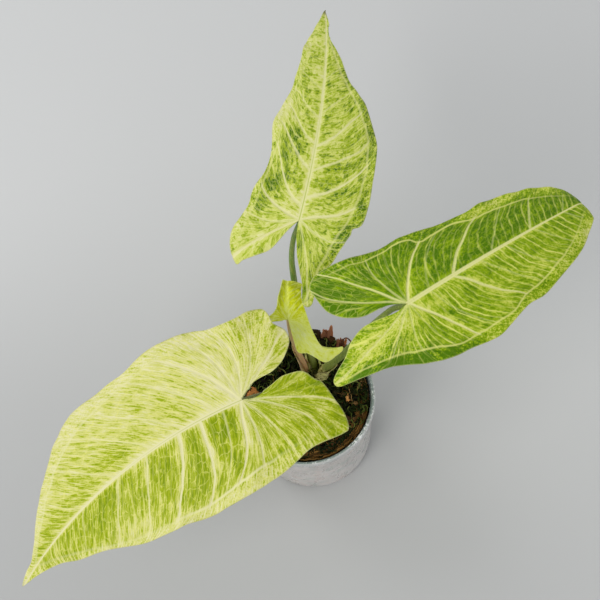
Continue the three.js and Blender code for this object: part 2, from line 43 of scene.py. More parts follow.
# Adds nodes to a tree. All but add and feed hand back the socket with the result.
class Nodes:
    def __init__(self, tree):
        self.tree = tree

    def add(self, kind, inputs=None, **settings):
        node = self.tree.nodes.new(kind)
        for key, value in settings.items():
            setattr(node, key, value)
        for key, value in (inputs or {}).items():
            self.feed(node.inputs[key], value)
        return node

    def feed(self, socket, value):
        if isinstance(value, bpy.types.NodeSocket):
            self.tree.links.new(value, socket)
        else:
            socket.default_value = value

    def math(self, operation, *values, clamp=False):
        node = self.add("ShaderNodeMath", operation=operation, use_clamp=clamp)
        for socket, value in zip(node.inputs, values):
            self.feed(socket, value)
        return node.outputs[0]

    def plus(self, first, second):
        return self.math("ADD", first, second)

    def minus(self, first, second):
        return self.math("SUBTRACT", first, second)

    def times(self, first, second):
        return self.math("MULTIPLY", first, second)

    def larger(self, first, second):
        return self.math("MAXIMUM", first, second)

    # value times factor, plus offset
    def scaled(self, value, factor, offset):
        return self.math("MULTIPLY_ADD", value, factor, offset)

    def vectors(self, operation, first, second):
        return self.add("ShaderNodeVectorMath", {0: first, 1: second}, operation=operation).outputs[0]

    def onPiece(self):
        return self.add("ShaderNodeTexCoord").outputs["Object"]

    def uvs(self, name):
        return self.add("ShaderNodeUVMap", uv_map=name).outputs[0]

    def split(self, vector):
        return self.add("ShaderNodeSeparateXYZ", {"Vector": vector}).outputs

    def join(self, x, y=0.0):
        return self.add("ShaderNodeCombineXYZ", {"X": x, "Y": y}).outputs[0]

    def stretch(self, vector, scale, offset=(0, 0, 0)):
        inputs = {"Vector": vector, "Scale": scale, "Location": offset}
        return self.add("ShaderNodeMapping", inputs).outputs[0]

    def noise(self, vector, scale, detail=2.0, rough=0.5, distortion=0.0):
        return self.add("ShaderNodeTexNoise", {
            "Vector": vector, "Scale": scale, "Detail": detail, "Roughness": rough, "Distortion": distortion,
        }).outputs["Fac"]

    def smooth(self, value, low, high, start=0.0, end=1.0):
        inputs = {"Value": value, "From Min": low, "From Max": high, "To Min": start, "To Max": end}
        return self.add("ShaderNodeMapRange", inputs, interpolation_type="SMOOTHSTEP").outputs[0]

    def mix(self, factor, first, second, blend="MIX"):
        node = self.add("ShaderNodeMix", data_type="RGBA", blend_type=blend)
        for index, value in ((0, factor), (6, first), (7, second)):
            self.feed(node.inputs[index], value)
        return node.outputs[2]

    def ramp(self, factor, stops):
        node = self.add("ShaderNodeValToRGB", {"Fac": factor})
        elements = node.color_ramp.elements
        while len(elements) < len(stops):
            elements.new(1.0)
        for element, (place, colour) in zip(elements, stops):
            element.position = place
            element.color = colour
        return node.outputs["Color"]

    def attribute(self, name):
        return self.add("ShaderNodeAttribute", attribute_name=name).outputs["Fac"]

    # Feeds the shader. The relief is its height, its strength and its depth in metres.
    def finish(self, colour, roughness, relief=None, others=None):
        inputs = {"Base Color": colour, "Roughness": roughness, **(others or {})}
        if relief:
            bump = dict(zip(("Height", "Strength", "Distance"), relief))
            inputs["Normal"] = self.add("ShaderNodeBump", bump).outputs[0]
        for key, value in inputs.items():
            self.feed(self.tree.nodes["Principled BSDF"].inputs[key], value)


# A colour as it looks on a screen (0 to 255), turned into the linear values that shaders use.
def rgb(red, green, blue):
    values = [c / 255 for c in (red, green, blue)]
    return tuple(c / 12.92 if c <= 0.04045 else ((c + 0.055) / 1.055) ** 2.4 for c in values) + (1.0,)


def newMaterial(name):
    material = bpy.data.materials.new(name)
    material.use_nodes = True
    return material, Nodes(material.node_tree)


# How light wanders inside soft matter, as shader inputs. The depth is in metres.
def softInside(weight, radius, depth):
    return {"Subsurface Weight": weight, "Subsurface Radius": radius, "Subsurface Scale": depth}


def putInScene(name, data):
    piece = bpy.data.objects.new(name, data)
    bpy.context.scene.collection.objects.link(piece)
    return piece


def keepValues(mesh, key, values):
    mesh.attributes.new(key, "FLOAT", "POINT").data.foreach_set("value", np.asarray(values, np.float32))


# The mesh of a piece with its modifiers applied.
def finishedMesh(piece):
    bpy.context.view_layer.update()
    return bpy.data.meshes.new_from_object(piece.evaluated_get(bpy.context.evaluated_depsgraph_get()))


def meshObject(name, points, faces, material=None, attributes=None, uvs=None, edges=()):
    mesh = bpy.data.meshes.new(name)
    mesh.from_pydata((np.asarray(points) * mm).tolist(), list(edges), faces)
    for key, values in (attributes or {}).items():
        keepValues(mesh, key, values)
    for key, values in (uvs or {}).items():
        mesh.uv_layers.new(name=key).data.foreach_set("uv", np.asarray(values, np.float32).ravel())
    mesh.polygons.foreach_set("use_smooth", np.full(len(mesh.polygons), True))
    mesh.update()
    if material:
        mesh.materials.append(material)
    return putInScene(name, mesh)


# Quads between rings of points, of which the first ring starts at the given point.
def ringFaces(start, rings, count):
    faces = []
    for i in range(rings - 1):
        for k in range(count):
            a, b = start + i * count + k, start + i * count + (k + 1) % count
            faces.append((a, b, b + count, a + count))
    return faces


# Faces of a closed body: the points of its two ends, then rings of points from the one to the other.
def closedFaces(rings, count):
    faces = ringFaces(2, rings, count)
    last = 2 + (rings - 1) * count
    for k in range(count):
        faces.append((0, 2 + (k + 1) % count, 2 + k))
        faces.append((1, last + k, last + (k + 1) % count))
    return faces


def turnedOver(faces):
    return [(face[0], *face[:0:-1]) for face in faces]


def settle(piece, slot, *nodes):
    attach(piece, "root")
    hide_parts(*nodes)


# Camera, floor and light

cameraSetup = {
    "place": (7.27, -200.05, 675.81),
    "elevation": 68.5,
    "roll": 13.0,
    "lens": 90.9,
    "sensor": 36.0,
    "near": 0.01,  # nothing nearer shows, in metres
}


def makeCamera(setup):
    data = bpy.data.cameras.new("camera")
    data.lens = setup["lens"]
    data.sensor_width = setup["sensor"]
    data.clip_start = setup["near"]
    elevation, roll = math.radians(setup["elevation"]), math.radians(setup["roll"])
    forward = Vector((0, math.cos(elevation), -math.sin(elevation)))
    level, upright = Vector((1, 0, 0)), Vector((0, math.sin(elevation), math.cos(elevation)))
    right = level * math.cos(roll) - upright * math.sin(roll)
    up = level * math.sin(roll) + upright * math.cos(roll)
    camera = putInScene("camera", data)
    camera.matrix_world = Matrix((right, up, -forward)).transposed().to_4x4()
    camera.location = Vector(setup["place"]) * mm
    bpy.context.scene.camera = camera


studio = {
    "floorColour": rgb(191, 191, 190),
    "sweep": (0.84, 1.03),  # painted shade and light: how dark the floor is painted at the front and how light at the back
    "lean": (0.1, -0.04),   # painted light: how much lighter the floor is painted on the right, at the front and at the back
    "floorSize": 8.0,
    "floorRoughness": 0.85,
    "world": (0.94, 0.97, 1.0, 1.0),
    "worldStrength": 0.74,
    "aim": (0, 0, 0.08),    # where the lamps point, in metres
    # place, size, power and colour of each lamp, in metres and watts
    "lamps": {
        "window": ((-1.0, -0.75, 1.5), 1.1, 17.0, (1.0, 0.985, 0.96)),
        "back": ((-0.9, 1.2, 0.9), 1.0, 6.0, (1.0, 1.0, 1.0)),
    },
}


def makeStudio(setup):
    side = setup["floorSize"] / 2 / mm
    corners = [(-side, -side, 0), (side, -side, 0), (side, side, 0), (-side, side, 0)]
    floor = meshObject("floor", corners, [(0, 1, 2, 3)])
    material, nodes = newMaterial("floorPaint")
    coords = nodes.onPiece()
    sideways, depth, _ = nodes.split(coords)
    cloud = nodes.scaled(nodes.noise(coords, 6.0, 3.0), 0.03, 0.97)
    # painted shade and light: the floor is painted darker at the front and lighter at the back and on the
    # right, where the lamps fall off; cloud is a faint random tone
    tone = nodes.times(nodes.smooth(depth, -0.14, 0.2, *setup["sweep"]), cloud)
    lean = nodes.smooth(depth, 0.03, 0.16, *setup["lean"])
    lean = nodes.times(nodes.smooth(sideways, -0.18, 0.18, -1.0, 1.0), lean)
    tone = nodes.scaled(tone, lean, tone)
    tone = nodes.add("ShaderNodeCombineColor", {"Red": tone, "Green": tone, "Blue": tone}).outputs[0]
    nodes.finish(nodes.mix(1.0, setup["floorColour"], tone, "MULTIPLY"), setup["floorRoughness"])
    floor.data.materials.append(material)
    world = bpy.data.worlds.new("studioAir")
    world.use_nodes = True
    background = world.node_tree.nodes["Background"]
    background.inputs["Color"].default_value = setup["world"]
    background.inputs["Strength"].default_value = setup["worldStrength"]
    bpy.context.scene.world = world
    for name, (place, size, power, colour) in setup["lamps"].items():
        data = bpy.data.lights.new(name, "AREA")
        data.shape = "DISK"
        data.size, data.energy, data.color = size, power, colour
        lamp = putInScene(name, data)
        lamp.location = place
        lamp.rotation_euler = (Vector(setup["aim"]) - Vector(place)).to_track_quat("-Z", "Y").to_euler()


bpy.context.scene.view_settings.view_transform = "Standard"
makeCamera(cameraSetup)
makeStudio(studio)
print("camera, floor and light are in")


# Leaf blades

# Each blade is drawn flat, u across to the left of the midrib and v along it, then laid on its spine and
# folded, as its solid is. ribs are the main side veins from the tip to the notch: where each leaves the
# midrib (0 is the stalk), how strong it is, and its course out to the margin. The last one on each side
# runs down the basal lobe. seams are the veins that run just inside the margin.
# patches are soft areas of greener (above 0) or paler (below 0) tissue: u, v, half width, half length.
blades = {
    "back": {
        "attach": (13.8, 38.8, 151), "length": 107, "heading": 63.2, "turn": 19.3, "pitch": (6, -26),
        "roll": (-6, 0), "fold": (-6, -6), "lobeDrop": (14, 40), "wave": (0.9, 6, (0.1, 0.45)),
        "fan": (0.56, (10, 6), (4, 8)),
        "margins": (
            [(2.5, 100), (6.5, 91), (9, 84), (11, 71), (13.5, 58.5), (16.5, 49.5), (18.5, 40.5), (17.5, 28.5),
             (18, 18), (21.5, 10), (22.5, 1.5), (25.5, -7.5), (25.5, -14), (22, -20), (19, -18.5),
             (12, -15.5), (7.5, -11.5), (3.5, -5)],
            [(-1, 98.5), (-0.6, 92), (-1.5, 86.5), (-5.5, 76.5), (-8, 68.5), (-10.5, 62), (-17, 51.5),
             (-20.5, 43), (-23.5, 34), (-24.5, 20.5), (-24.2, 4), (-21, 0.5), (-20.7, -3), (-16.5, -10.4),
             (-10.8, -20.2), (-9.2, -24.5), (-8.2, -27.3), (-6.4, -28.4), (-4.5, -27.8), (-3.9, -25),
             (-4.1, -22), (-3.2, -17.7), (-1.6, -13), (-0.4, -6.7)]),
        "ribs": (
            [(78, 0.2, (4, 84), (8.5, 88)), (58, 0.3, (5, 63), (9, 69), (11.5, 74)),
             (44, 0.4, (5, 49), (9, 56), (13, 62)), (32, 0.6, (5, 37), (9, 44), (12, 50), (16, 54)),
             (20, 0.7, (6, 27), (11, 35), (14, 41), (18.5, 46)),
             (5, 0.85, (6, 10), (10, 17), (13, 25), (15, 31), (17.5, 37)),
             (0, 0.9, (8, 3), (14, 7), (18, 12), (20.5, 17)), (0, 0.5, (8, -2), (15, -2), (22.5, 0)),
             (0, 1.0, (8, -5.5), (14, -9.5), (20, -14), (24, -17.5))],
            [(80, 0.2, (-1.5, 84), (-3, 87)), (62, 0.3, (-3, 66), (-7, 71)),
             (46, 0.4, (-5, 51), (-10, 56), (-13.5, 60)),
             (31, 0.8, (-6, 35), (-10, 40), (-15, 46), (-19, 51)),
             (20, 0.7, (-6, 23.5), (-12, 27), (-18, 32), (-22.5, 40)),
             (9, 0.9, (-6, 11.5), (-12, 15), (-17, 20), (-22, 27), (-24, 33)),
             (0, 0.9, (-6, 2), (-12, 3.5), (-17, 6), (-24, 11)), (0, 0.5, (-7, -4), (-14, -6), (-19, -5)),
             (0, 0.45, (-3.5, -8), (-5.8, -16), (-6.4, -28.4))]),
        "seams": (
            [(4.5, 92), (6.5, 82), (8.5, 70), (12, 58), (14, 49), (15, 40), (15.5, 30), (17, 20), (18, 12),
             (19, 4), (21, -4), (22, -12)],
            [(-3.2, 78), (-6.5, 67), (-10.5, 58), (-15.5, 48), (-19, 38), (-20.8, 28), (-20.8, 18),
             (-19.5, 8), (-17, -1), (-13, -10)]),
        "green": (0.42, 0.6),
        "patches": [
            (5, 76, 3, 4, 0.4), (8.5, 66, 3, 4, 0.35), (7.5, 58, 3, 5, 0.3), (5, 47, 3, 5, 0.45),
            (10, 36, 3.5, 5, 1.0), (6, 29, 3, 4, 0.95), (12, 26, 2.5, 4, 0.8), (9, 18, 4, 4, 0.9),
            (14, 13, 4, 5, 0.95), (17, 4, 3, 5, 0.7), (10, 1, 4, 4, 0.2), (14, 78, 6, 10, -0.5),
            (15, 52, 4, 8, -0.6), (17.5, 42, 3, 6, -0.5), (16, -10, 8, 6, -0.05), (-9, 66, 3, 8, 0.35),
            (-16, 50, 3, 8, 0.4), (-20, 38, 2.5, 8, 0.25), (-19, 24, 4, 7, 0.3), (-10, 24, 5, 4, 0.15),
            (-13, 13, 6, 3, 0.35), (-22, 8, 2.5, 5, 0.6), (-18.5, -2, 3, 4, 0.75), (-16, -8, 3, 4, 0.55),
            (-2.5, -8, 1.2, 4, 0.7), (-9, -12, 3, 8, 0.2), (-5.5, -22, 4, 7, 0.2), (-5, 52, 5, 14, 0.1),
            (-8, 14, 4, 2.5, 0.5), (-10, 24, 3.5, 2.5, 0.3)],
        "deep": rgb(68, 102, 4), "mid": rgb(150, 168, 32), "pale": rgb(188, 194, 92),
        "cream": rgb(212, 209, 152), "line": rgb(206, 206, 126), "seam": rgb(208, 207, 134), "slant": 0.13,
        "dryTip": 0.8, "edge": (-0.05, 0.12), "crimp": 1.3, "streak": (1.5, 0.16), "mesh": (2.4, 1.5),
        "grain": (1.3, 2.0, 0.7), "sharp": 0.22, "thinStrength": (0.55, 0.5), "netStrength": (0.6, 0.6, 0.6),
        "midribShow": 0.8, "seamWidth": 0.6, "speckle": (1.6, 0, 0),
        "seamShow": ([(-15, 0.2), (20, 0.5), (90, 0.2)], [(-10, 0.5), (80, 0.5)]), "haloPull": 0.45,
        "groove": 0.7,
    },
    "right": {
        "attach": (46, -3.6, 149.5), "length": 101.5, "heading": 22.9, "turn": 3.1, "pitch": (-8, -30),
        "tipCurl": (115, 0.86), "roll": (4, 0), "fold": (-10, -12), "lobeDrop": (4, 10),
        "wave": (0.8, 6, (0.3, 0.0)), "fan": (0.54, (8, 2), (10, 10)),
        "margins": (
            [(2.6, 98.5), (6.4, 94.5), (9.8, 90), (12.5, 85), (16, 76.5), (19, 65.5), (20.5, 54.5), (20, 43),
             (22, 29), (24.5, 14), (25, 5), (28, -6), (30, -18), (29, -23), (25.5, -26), (17.5, -26.5),
             (13, -25.5), (8, -21.5), (5, -16), (3.5, -7)],
            [(-2.6, 98.5), (-6.4, 94), (-9.4, 89.5), (-12, 85), (-15, 80), (-18, 72.5), (-21.5, 60),
             (-24, 49.5), (-24, 41.5), (-27, 29.5), (-28, 23.5), (-26.5, 12), (-25.5, 2), (-22, -7),
             (-17, -16), (-14.5, -24.5), (-11.5, -33.5), (-10, -37.5), (-7.5, -38), (-5.5, -35),
             (-3.5, -30.5), (0, -25.5), (2, -19), (1, -12.5), (-0.5, -6)]),
        "ribs": (
            [(80, 0.25, (4, 84), (8, 89)), (61, 0.6, (5, 65), (10, 70), (12.5, 73), (15.5, 78)),
             (41, 0.3, (5, 46), (10, 52), (15, 59), (19, 65)),
             (21.5, 0.9, (5, 26.5), (10, 34), (14, 41), (16, 46), (20.3, 54)),
             (10, 0.2, (6, 13), (12, 18), (17.5, 26), (20.5, 34)),
             (0, 1.0, (5, 3.5), (10, 8), (15, 13.5), (18.5, 19.5), (22.5, 26)),
             (0, 0.15, (8, 1), (16, 3), (23, 6), (24.8, 10)),
             (0, 0.5, (8, -2.5), (17, -3.5), (23.5, -2), (26.5, 0)),
             (0, 0.8, (4, -3.2), (10, -6.5), (17, -11), (24, -15.5), (30, -20)),
             (0, 0.6, (4.5, -6), (8, -11.5), (13, -18), (20, -24), (25.5, -26))],
            [(80, 0.3, (-4, 84), (-8.5, 90)), (62, 0.3, (-5, 67), (-10, 73), (-15, 80)),
             (47, 0.3, (-5, 50.5), (-10, 55), (-16, 62), (-20, 67)),
             (34, 0.3, (-6, 38.5), (-12, 44), (-17, 50), (-23, 55)),
             (21, 0.9, (-5, 26), (-10, 30.5), (-15, 36), (-19.5, 42.5), (-24, 47)),
             (10, 0.25, (-6, 12), (-12, 15), (-18, 19.5), (-24, 26), (-27.5, 30)),
             (0, 1.0, (-5, 3.5), (-10, 7.5), (-16, 11.5), (-23.5, 17), (-27.5, 20.5)),
             (0, 0.2, (-8, 1), (-15, 3), (-21, 6), (-26.3, 9)),
             (0, 0.4, (-7, -3), (-13, -5), (-18, -5), (-24, -3)),
             (0, 0.4, (-5, -6), (-10, -12), (-14, -17), (-15.5, -21)),
             (0, 0.55, (-3.6, -9), (-6, -19), (-8, -29), (-9, -38))]),
        "seams": (
            [(4.5, 90), (7.5, 84), (10.5, 77), (12.7, 70), (14.6, 60), (15.8, 50), (16.2, 43), (18.2, 36),
             (18.6, 28), (18.6, 20), (21.6, 17), (22.8, 11), (23, 4), (23.6, -2), (25.4, -9), (27.2, -17)],
            [(-4, 89), (-7.5, 83), (-11, 77), (-13.8, 70), (-17, 60), (-19, 52), (-20, 43), (-22.6, 36),
             (-23.6, 28), (-23.6, 18), (-23.2, 11), (-22, 5), (-19.6, 0), (-17.2, -6), (-14.6, -12),
             (-12.6, -20)]),
        "green": (1.25, 0.78),
        "patches": [
            (17.5, 60, 2.5, 16, -0.8), (15, 87, 5, 10, -1.0), (-13, 87, 4, 8, -0.8), (3, 99, 5, 4, -0.7),
            (-3, 99, 5, 4, -0.7), (18, 46, 2, 6, -0.4), (6, 10, 4, 5, -0.35), (4, 3, 4, 3, -0.5),
            (20, -22, 9, 4, 0.2), (-4, 10, 4, 10, -0.25), (-13, 55, 5, 8, -0.15), (-12, 32, 6, 4, -0.1),
            (-19, 33, 4, 6, -0.15), (-5.5, -19, 3.6, 13, -0.62), (-6, -5, 4, 4, -0.3),
            (-9.5, -13, 2.5, 5, 0.5), (-14, 5, 7, 3, 0.15), (-12, 15, 6, 3, 0.25), (-9, 24, 7, 3, 0.2),
            (-16, -18, 2.4, 6, 1.7), (-20, -8, 2.6, 6, 1.6), (-12, -28, 2, 6, 1.2), (-24, 2, 2.4, 6, 1.1),
            (0.5, -21, 1.8, 6, 1.7), (-4, -33, 2, 4, 0.5), (-26, 11, 2, 8, 0.5), (-5, 80, 5, 8, 0.25),
            (-21, 52, 2, 14, 0.2)],
        "deep": rgb(74, 112, 0), "mid": rgb(132, 160, 2), "pale": rgb(184, 194, 68),
        "cream": rgb(216, 214, 144), "line": rgb(209, 211, 108), "seam": rgb(212, 212, 120), "slant": 0.09,
        "edge": (-0.12, -0.2), "crimp": 0.9, "streak": (1.25, 0.25), "mesh": (2.4, 2.4),
        "grain": (1.1, 1.6, 0.4), "sharp": 0.26, "thinStrength": (0.6, 1.2), "netStrength": (0.2, 0.3, 0.5),
        "midribShow": 1.0, "seamWidth": 0.45, "speckle": (2.0, 0, 1.5), "netWidth": 0.05,
        "plainBrim": (0, 0.75),
        "seamShow": ([(-22, 0.2), (-5, 0.5), (10, 0.8), (60, 0.75), (80, 0.4), (92, 0.1)],
                     [(-20, 0.5), (0, 0.75), (60, 0.7), (80, 0.4), (92, 0.1)]), "haloPull": 0.4,
                     "groove": 0.1,
    },
    "front": {
        "attach": (-23.3, -17.7, 125), "length": 123.6, "heading": 188.2, "turn": 27.2, "pitch": (-8, -38),
        "fold": (-6, -6), "lobeDrop": (6, 2), "wave": (1.0, 6, (0.2, 0.6)), "fan": (0.54, (8, 4), (9, 10)),
        "margins": (
            [(1.5, 118), (4.4, 110), (8, 102), (13, 94.3), (18.6, 81.7), (27, 65.5), (31, 50), (32, 42.5),
             (34.2, 33), (35, 20), (34.5, 8), (31.8, -5.8), (27.5, -19), (26.2, -31), (24.6, -34),
             (18.4, -34.4), (12.9, -33.2), (5.4, -31.4), (2.9, -29.2), (-1.8, -25.8), (-3, -19),
             (-0.9, -12.3), (1.2, -6)],
            [(-2.4, 117.3), (-3.2, 111), (-6.6, 105), (-15, 94), (-22.5, 84), (-29, 72.5), (-33.2, 62),
             (-34.2, 50), (-34.6, 37), (-37, 25), (-36.6, 11), (-33.5, 3), (-32.6, -7), (-34, -14),
             (-32.8, -19.3), (-29, -21.3), (-24.6, -21.9), (-20, -25.3), (-15, -25.3), (-9.5, -21),
             (-6, -15.5), (-4.8, -7)]),
        "ribs": (
            [(98, 0.2, (4, 101), (8.5, 103)), (78, 0.25, (6, 83), (12, 88), (16, 91)),
             (58, 0.5, (6, 62), (13, 68), (20, 74), (25, 78)),
             (43, 0.6, (6, 46), (12, 50), (18, 54), (25, 60), (30, 66)),
             (27.5, 1.0, (6, 29), (12, 32), (18, 36), (24, 41), (29, 46), (32.5, 51)),
             (18, 1.0, (7, 18.6), (14, 19.6), (22, 22), (29, 28), (34, 34)),
             (8, 0.35, (8, 9), (16, 11), (24, 16), (30, 21), (35, 26)),
             (0, 1.0, (6, 1.8), (12, 2.8), (18, 4.6), (24, 8.5), (29, 14), (35, 21)),
             (0, 0.6, (8, -1), (16, -1.5), (25, 0), (32.5, 3)),
             (0, 0.45, (8, -5.5), (16, -9), (23, -11.5), (29, -12)),
             (0, 0.5, (4, -8), (10, -16), (17, -22.5), (26.4, -26)),
             (0, 0.5, (2.5, -8), (6, -18), (10, -27), (13, -35.8))],
            [(98, 0.2, (-4, 102), (-8, 104.5)), (78, 0.3, (-6, 85), (-14, 92)),
             (58, 0.4, (-7, 66), (-14, 73), (-23, 82)), (38, 0.4, (-8, 47), (-16, 56), (-24, 65), (-31, 72)),
             (24, 0.5, (-8, 33), (-16, 42), (-24, 51), (-34, 60)),
             (10, 0.5, (-8, 16), (-16, 23), (-24, 31), (-31, 39), (-35, 46)),
             (0, 0.9, (-8, 5), (-16, 10), (-24, 17), (-31, 24), (-36.5, 31)),
             (0, 0.5, (-10, 2), (-20, 5), (-29, 10), (-36.6, 15)),
             (0, 0.5, (-9, -2.5), (-17, -3), (-25, -1.5), (-33.5, 3)),
             (0, 0.4, (-8, -6), (-16, -9.5), (-25, -11), (-33.5, -12)),
             (0, 0.55, (-5, -6.5), (-10, -13), (-15, -18.5), (-21, -25))]),
        "seams": (
            [(4.4, 104), (8.8, 96), (14.5, 86), (20.5, 75), (25, 63), (27.6, 52), (29.5, 40), (30.5, 30),
             (30, 20), (28.6, 11), (27.4, 3), (25.5, -6), (24, -16), (22.5, -26)],
            [(-5, 104), (-11, 94), (-17.5, 84), (-22.5, 74), (-26.5, 62), (-28.6, 50), (-30, 38), (-31.2, 27),
             (-31, 16), (-29.5, 6), (-29, -4), (-28.5, -13)]),
        "green": (0.66, 0.2),
        "patches": [
            (6, 10, 8, 6, 0.55), (17, 12, 8, 4, 0.45), (11, 24, 10, 3.5, 0.6), (22, 29, 6, 5, 0.35),
            (8, 40, 7, 6, 0.3), (22, 39, 5, 5, 0.3), (11, 54, 7, 8, 0.25), (21, 62, 6, 8, -0.3),
            (6, 68, 4, 8, 0.4), (11, 76, 5, 8, 0.2), (6, 88, 5, 8, 0.1), (4, 101, 4, 10, 0.1),
            (33, 30, 3, 30, -0.4), (30, 58, 3, 16, -0.4), (21, 84, 4, 18, -0.5), (10, -5, 8, 3.5, 0.3),
            (7, -20, 4, 9, 0.12), (22, -22, 6, 9, 0.1), (18, -31, 8, 4, 0.1), (6, -28, 6, 5, 0.3),
            (1, -20, 4, 10, 0.3), (12, 2.5, 14, 1.5, -0.5), (12, 18.5, 12, 1.2, -0.4), (-6, 25, 5, 5, 0.25),
            (-12, 30, 5, 4, 0.2), (-7, 52, 6, 12, 0.34), (-18, 66, 5, 8, 0.12), (-5, 66, 5, 8, 0.3),
            (-5, 85, 5, 14, 0.35), (-12, 76, 6, 8, 0.12), (-2, 104, 3, 10, 0.4), (-28, -12, 5, 6, 0.3),
            (-16, -20, 6, 5, 0.15), (-14, 5, 14, 7, -0.2), (-30, 50, 5, 30, -0.1)],
        "deep": rgb(112, 134, 0), "mid": rgb(152, 166, 20), "pale": rgb(192, 193, 102),
        "cream": rgb(213, 208, 160), "line": rgb(216, 212, 118), "seam": rgb(214, 210, 156),
        "edge": (-0.3, -0.3), "crimp": 1.0, "streak": (1.5, 0.1), "mesh": (0.95, 4.2),
        "grain": (1.8, 2.9, 0.2), "sharp": 0.2, "thinStrength": (0.6, 0.4), "netStrength": (0.5, 0.3, 0.35),
        "midribShow": 1.0, "seamWidth": 0.75, "speckle": (1.2, 0.4, 1.0),
        "seamShow": ([(-25, 0.05), (-8, 0.15), (2, 0.75), (12, 0.95), (34, 0.8), (48, 0.35), (104, 0.25)],
                     [(-13, 0.15), (30, 0.3), (75, 0.6), (104, 0.4)]), "haloPull": 0.5, "groove": 0.5,
    },
    "young": {
        "attach": (0.9, 15, 112), "length": 34, "heading": 80, "turn": 0, "pitch": (18, -138), "droop": 1.4,
        "fold": (58, -26), "crease": 3, "lobeDrop": (10, 10), "wave": (0, 3, (0, 0)),
        "fan": (0.4, (5, 2), (2, 8)),
        "margins": (
            [(1.2, 31), (2, 25), (2, 17), (2.5, 12.2), (3.4, 8.4), (3.9, 4.9), (5.2, 2.6), (7.1, 1.2),
             (9.4, -0.3), (9.8, -1.8), (7.6, -1.1), (4, -0.4)],
            [(-2, 31), (-4.5, 26), (-5.8, 20), (-5.6, 14), (-5.8, 9), (-6.8, 4.4), (-8.1, -1), (-9.7, -6),
             (-12, -10.6), (-14.5, -12.3), (-18, -12.2), (-20.8, -12), (-20.4, -13.6), (-17.7, -15.6),
             (-14.8, -17.5), (-12.5, -17.6), (-9.5, -15.6), (-6.5, -13.8), (-3, -13.1), (-1.3, -6.6)]),
        "ribs": (
            [(22, 0.2, (1, 24), (2, 26)), (10, 0.3, (1, 12.5), (2.3, 15)), (0, 0.4, (2, 3), (3.5, 7)),
             (0, 0.7, (4, 0.4), (9.6, -0.6))],
            [(22, 0.2, (-2.5, 25), (-4.5, 28)), (10, 0.4, (-3, 13.5), (-5.6, 17)),
             (0, 0.6, (-3, 3), (-6.4, 7)), (0, 0.4, (-4, -1.5), (-7.5, -6), (-11, -9.2)),
             (0, 0.8, (-4, -4), (-7.5, -9), (-12.5, -13), (-20.8, -12.4))]),
        "green": (0.6, 0.6),
        "patches": [(-4, 14, 5, 9, 0.7), (2, 14, 3, 9, 0.5), (-4, -5, 6, 5, -0.55), (-12, -13, 8, 6, -0.5),
                    (3, 4, 2, 6, 0.1)], "deep": rgb(176, 184, 6), "mid": rgb(224, 230, 32),
                    "pale": rgb(242, 248, 116), "cream": rgb(250, 252, 180), "line": rgb(240, 244, 158),
                    "seam": rgb(240, 244, 158), "crimp": 0.5, "streak": (1.2, 0.25), "mesh": (1.0, 3.0),
                    "grain": (1.7, 1.4, 0.3), "sharp": 0.32, "thinStrength": (0.4, 0.55),
                    "netStrength": (0.2, 0.1, 0.1), "midribShow": 0.2, "seamWidth": 0.5, "ribShow": 0.35,
                    "haloPull": 0.1, "groove": 0.0,
    },
}

# What most blades share. Pairs are for the left and the right side, or for the stalk's end and the tip.
usualBlade = {
    "droop": 1, "tipCurl": (0, 0.9), "roll": (0, 0), "crease": 5, "seams": ([], []), "slant": 0.0,
    "dryTip": 0, "edge": (0, 0), "speckle": (0, 0, 0), "netWidth": 0, "plainBrim": (0, 0), "ribShow": 1,
    "seamShow": ([(0, 0)], [(0, 0)]),
}
for leaf in blades:
    blades[leaf] = {**usualBlade, **blades[leaf]}

bladeMesh = {
    "thickness": 0.45,
    "marginThickness": 0.28,
    "midribDepth": 1.15,   # of the midrib under the blade, at the stalk
    "midribWidth": 1.5,
    "ribDepth": 0.45,      # of the main side veins under the blade
    "ribWidth": 0.55,
    "sink": 0.16,          # how far the veins lie below the upper face
    "quilt": 0.28,         # how far the tissue swells between them
    "crimps": 0.16,        # how many to a millimetre
    "rowStep": 0.62,
    "columns": 62,
}


# Catmull-Rom curve through the points, as many steps for each span.
def splineThrough(points, steps):
    points = np.array(points, float)
    last = len(points) - 1
    share = np.arange(steps)[:, None] / steps
    spans = []
    for i in range(last):
        a, b, c, d = (points[min(max(k, 0), last)] for k in (i - 1, i, i + 1, i + 2))
        slopeB, slopeC = (c - a) / 2, (d - b) / 2
        spans.append((2 * b - 2 * c + slopeB + slopeC) * share**3
                     + (-3 * b + 3 * c - 2 * slopeB - slopeC) * share**2 + slopeB * share + b)
    return np.vstack(spans + [points[-1:]])


def lengthsAlong(curve):
    return np.r_[0, np.cumsum(np.linalg.norm(np.diff(curve, axis=0), axis=1))]


# Points of a curve at shares of its length.
def pointsAt(curve, shares):
    lengths = lengthsAlong(curve)
    places = np.asarray(shares) * lengths[-1]
    return np.stack([np.interp(places, lengths, curve[:, k]) for k in range(curve.shape[1])], -1)


def smoothStep(x, low, high):
    x = np.clip((x - low) / (high - low), 0, 1)
    return x * x * (3 - 2 * x)


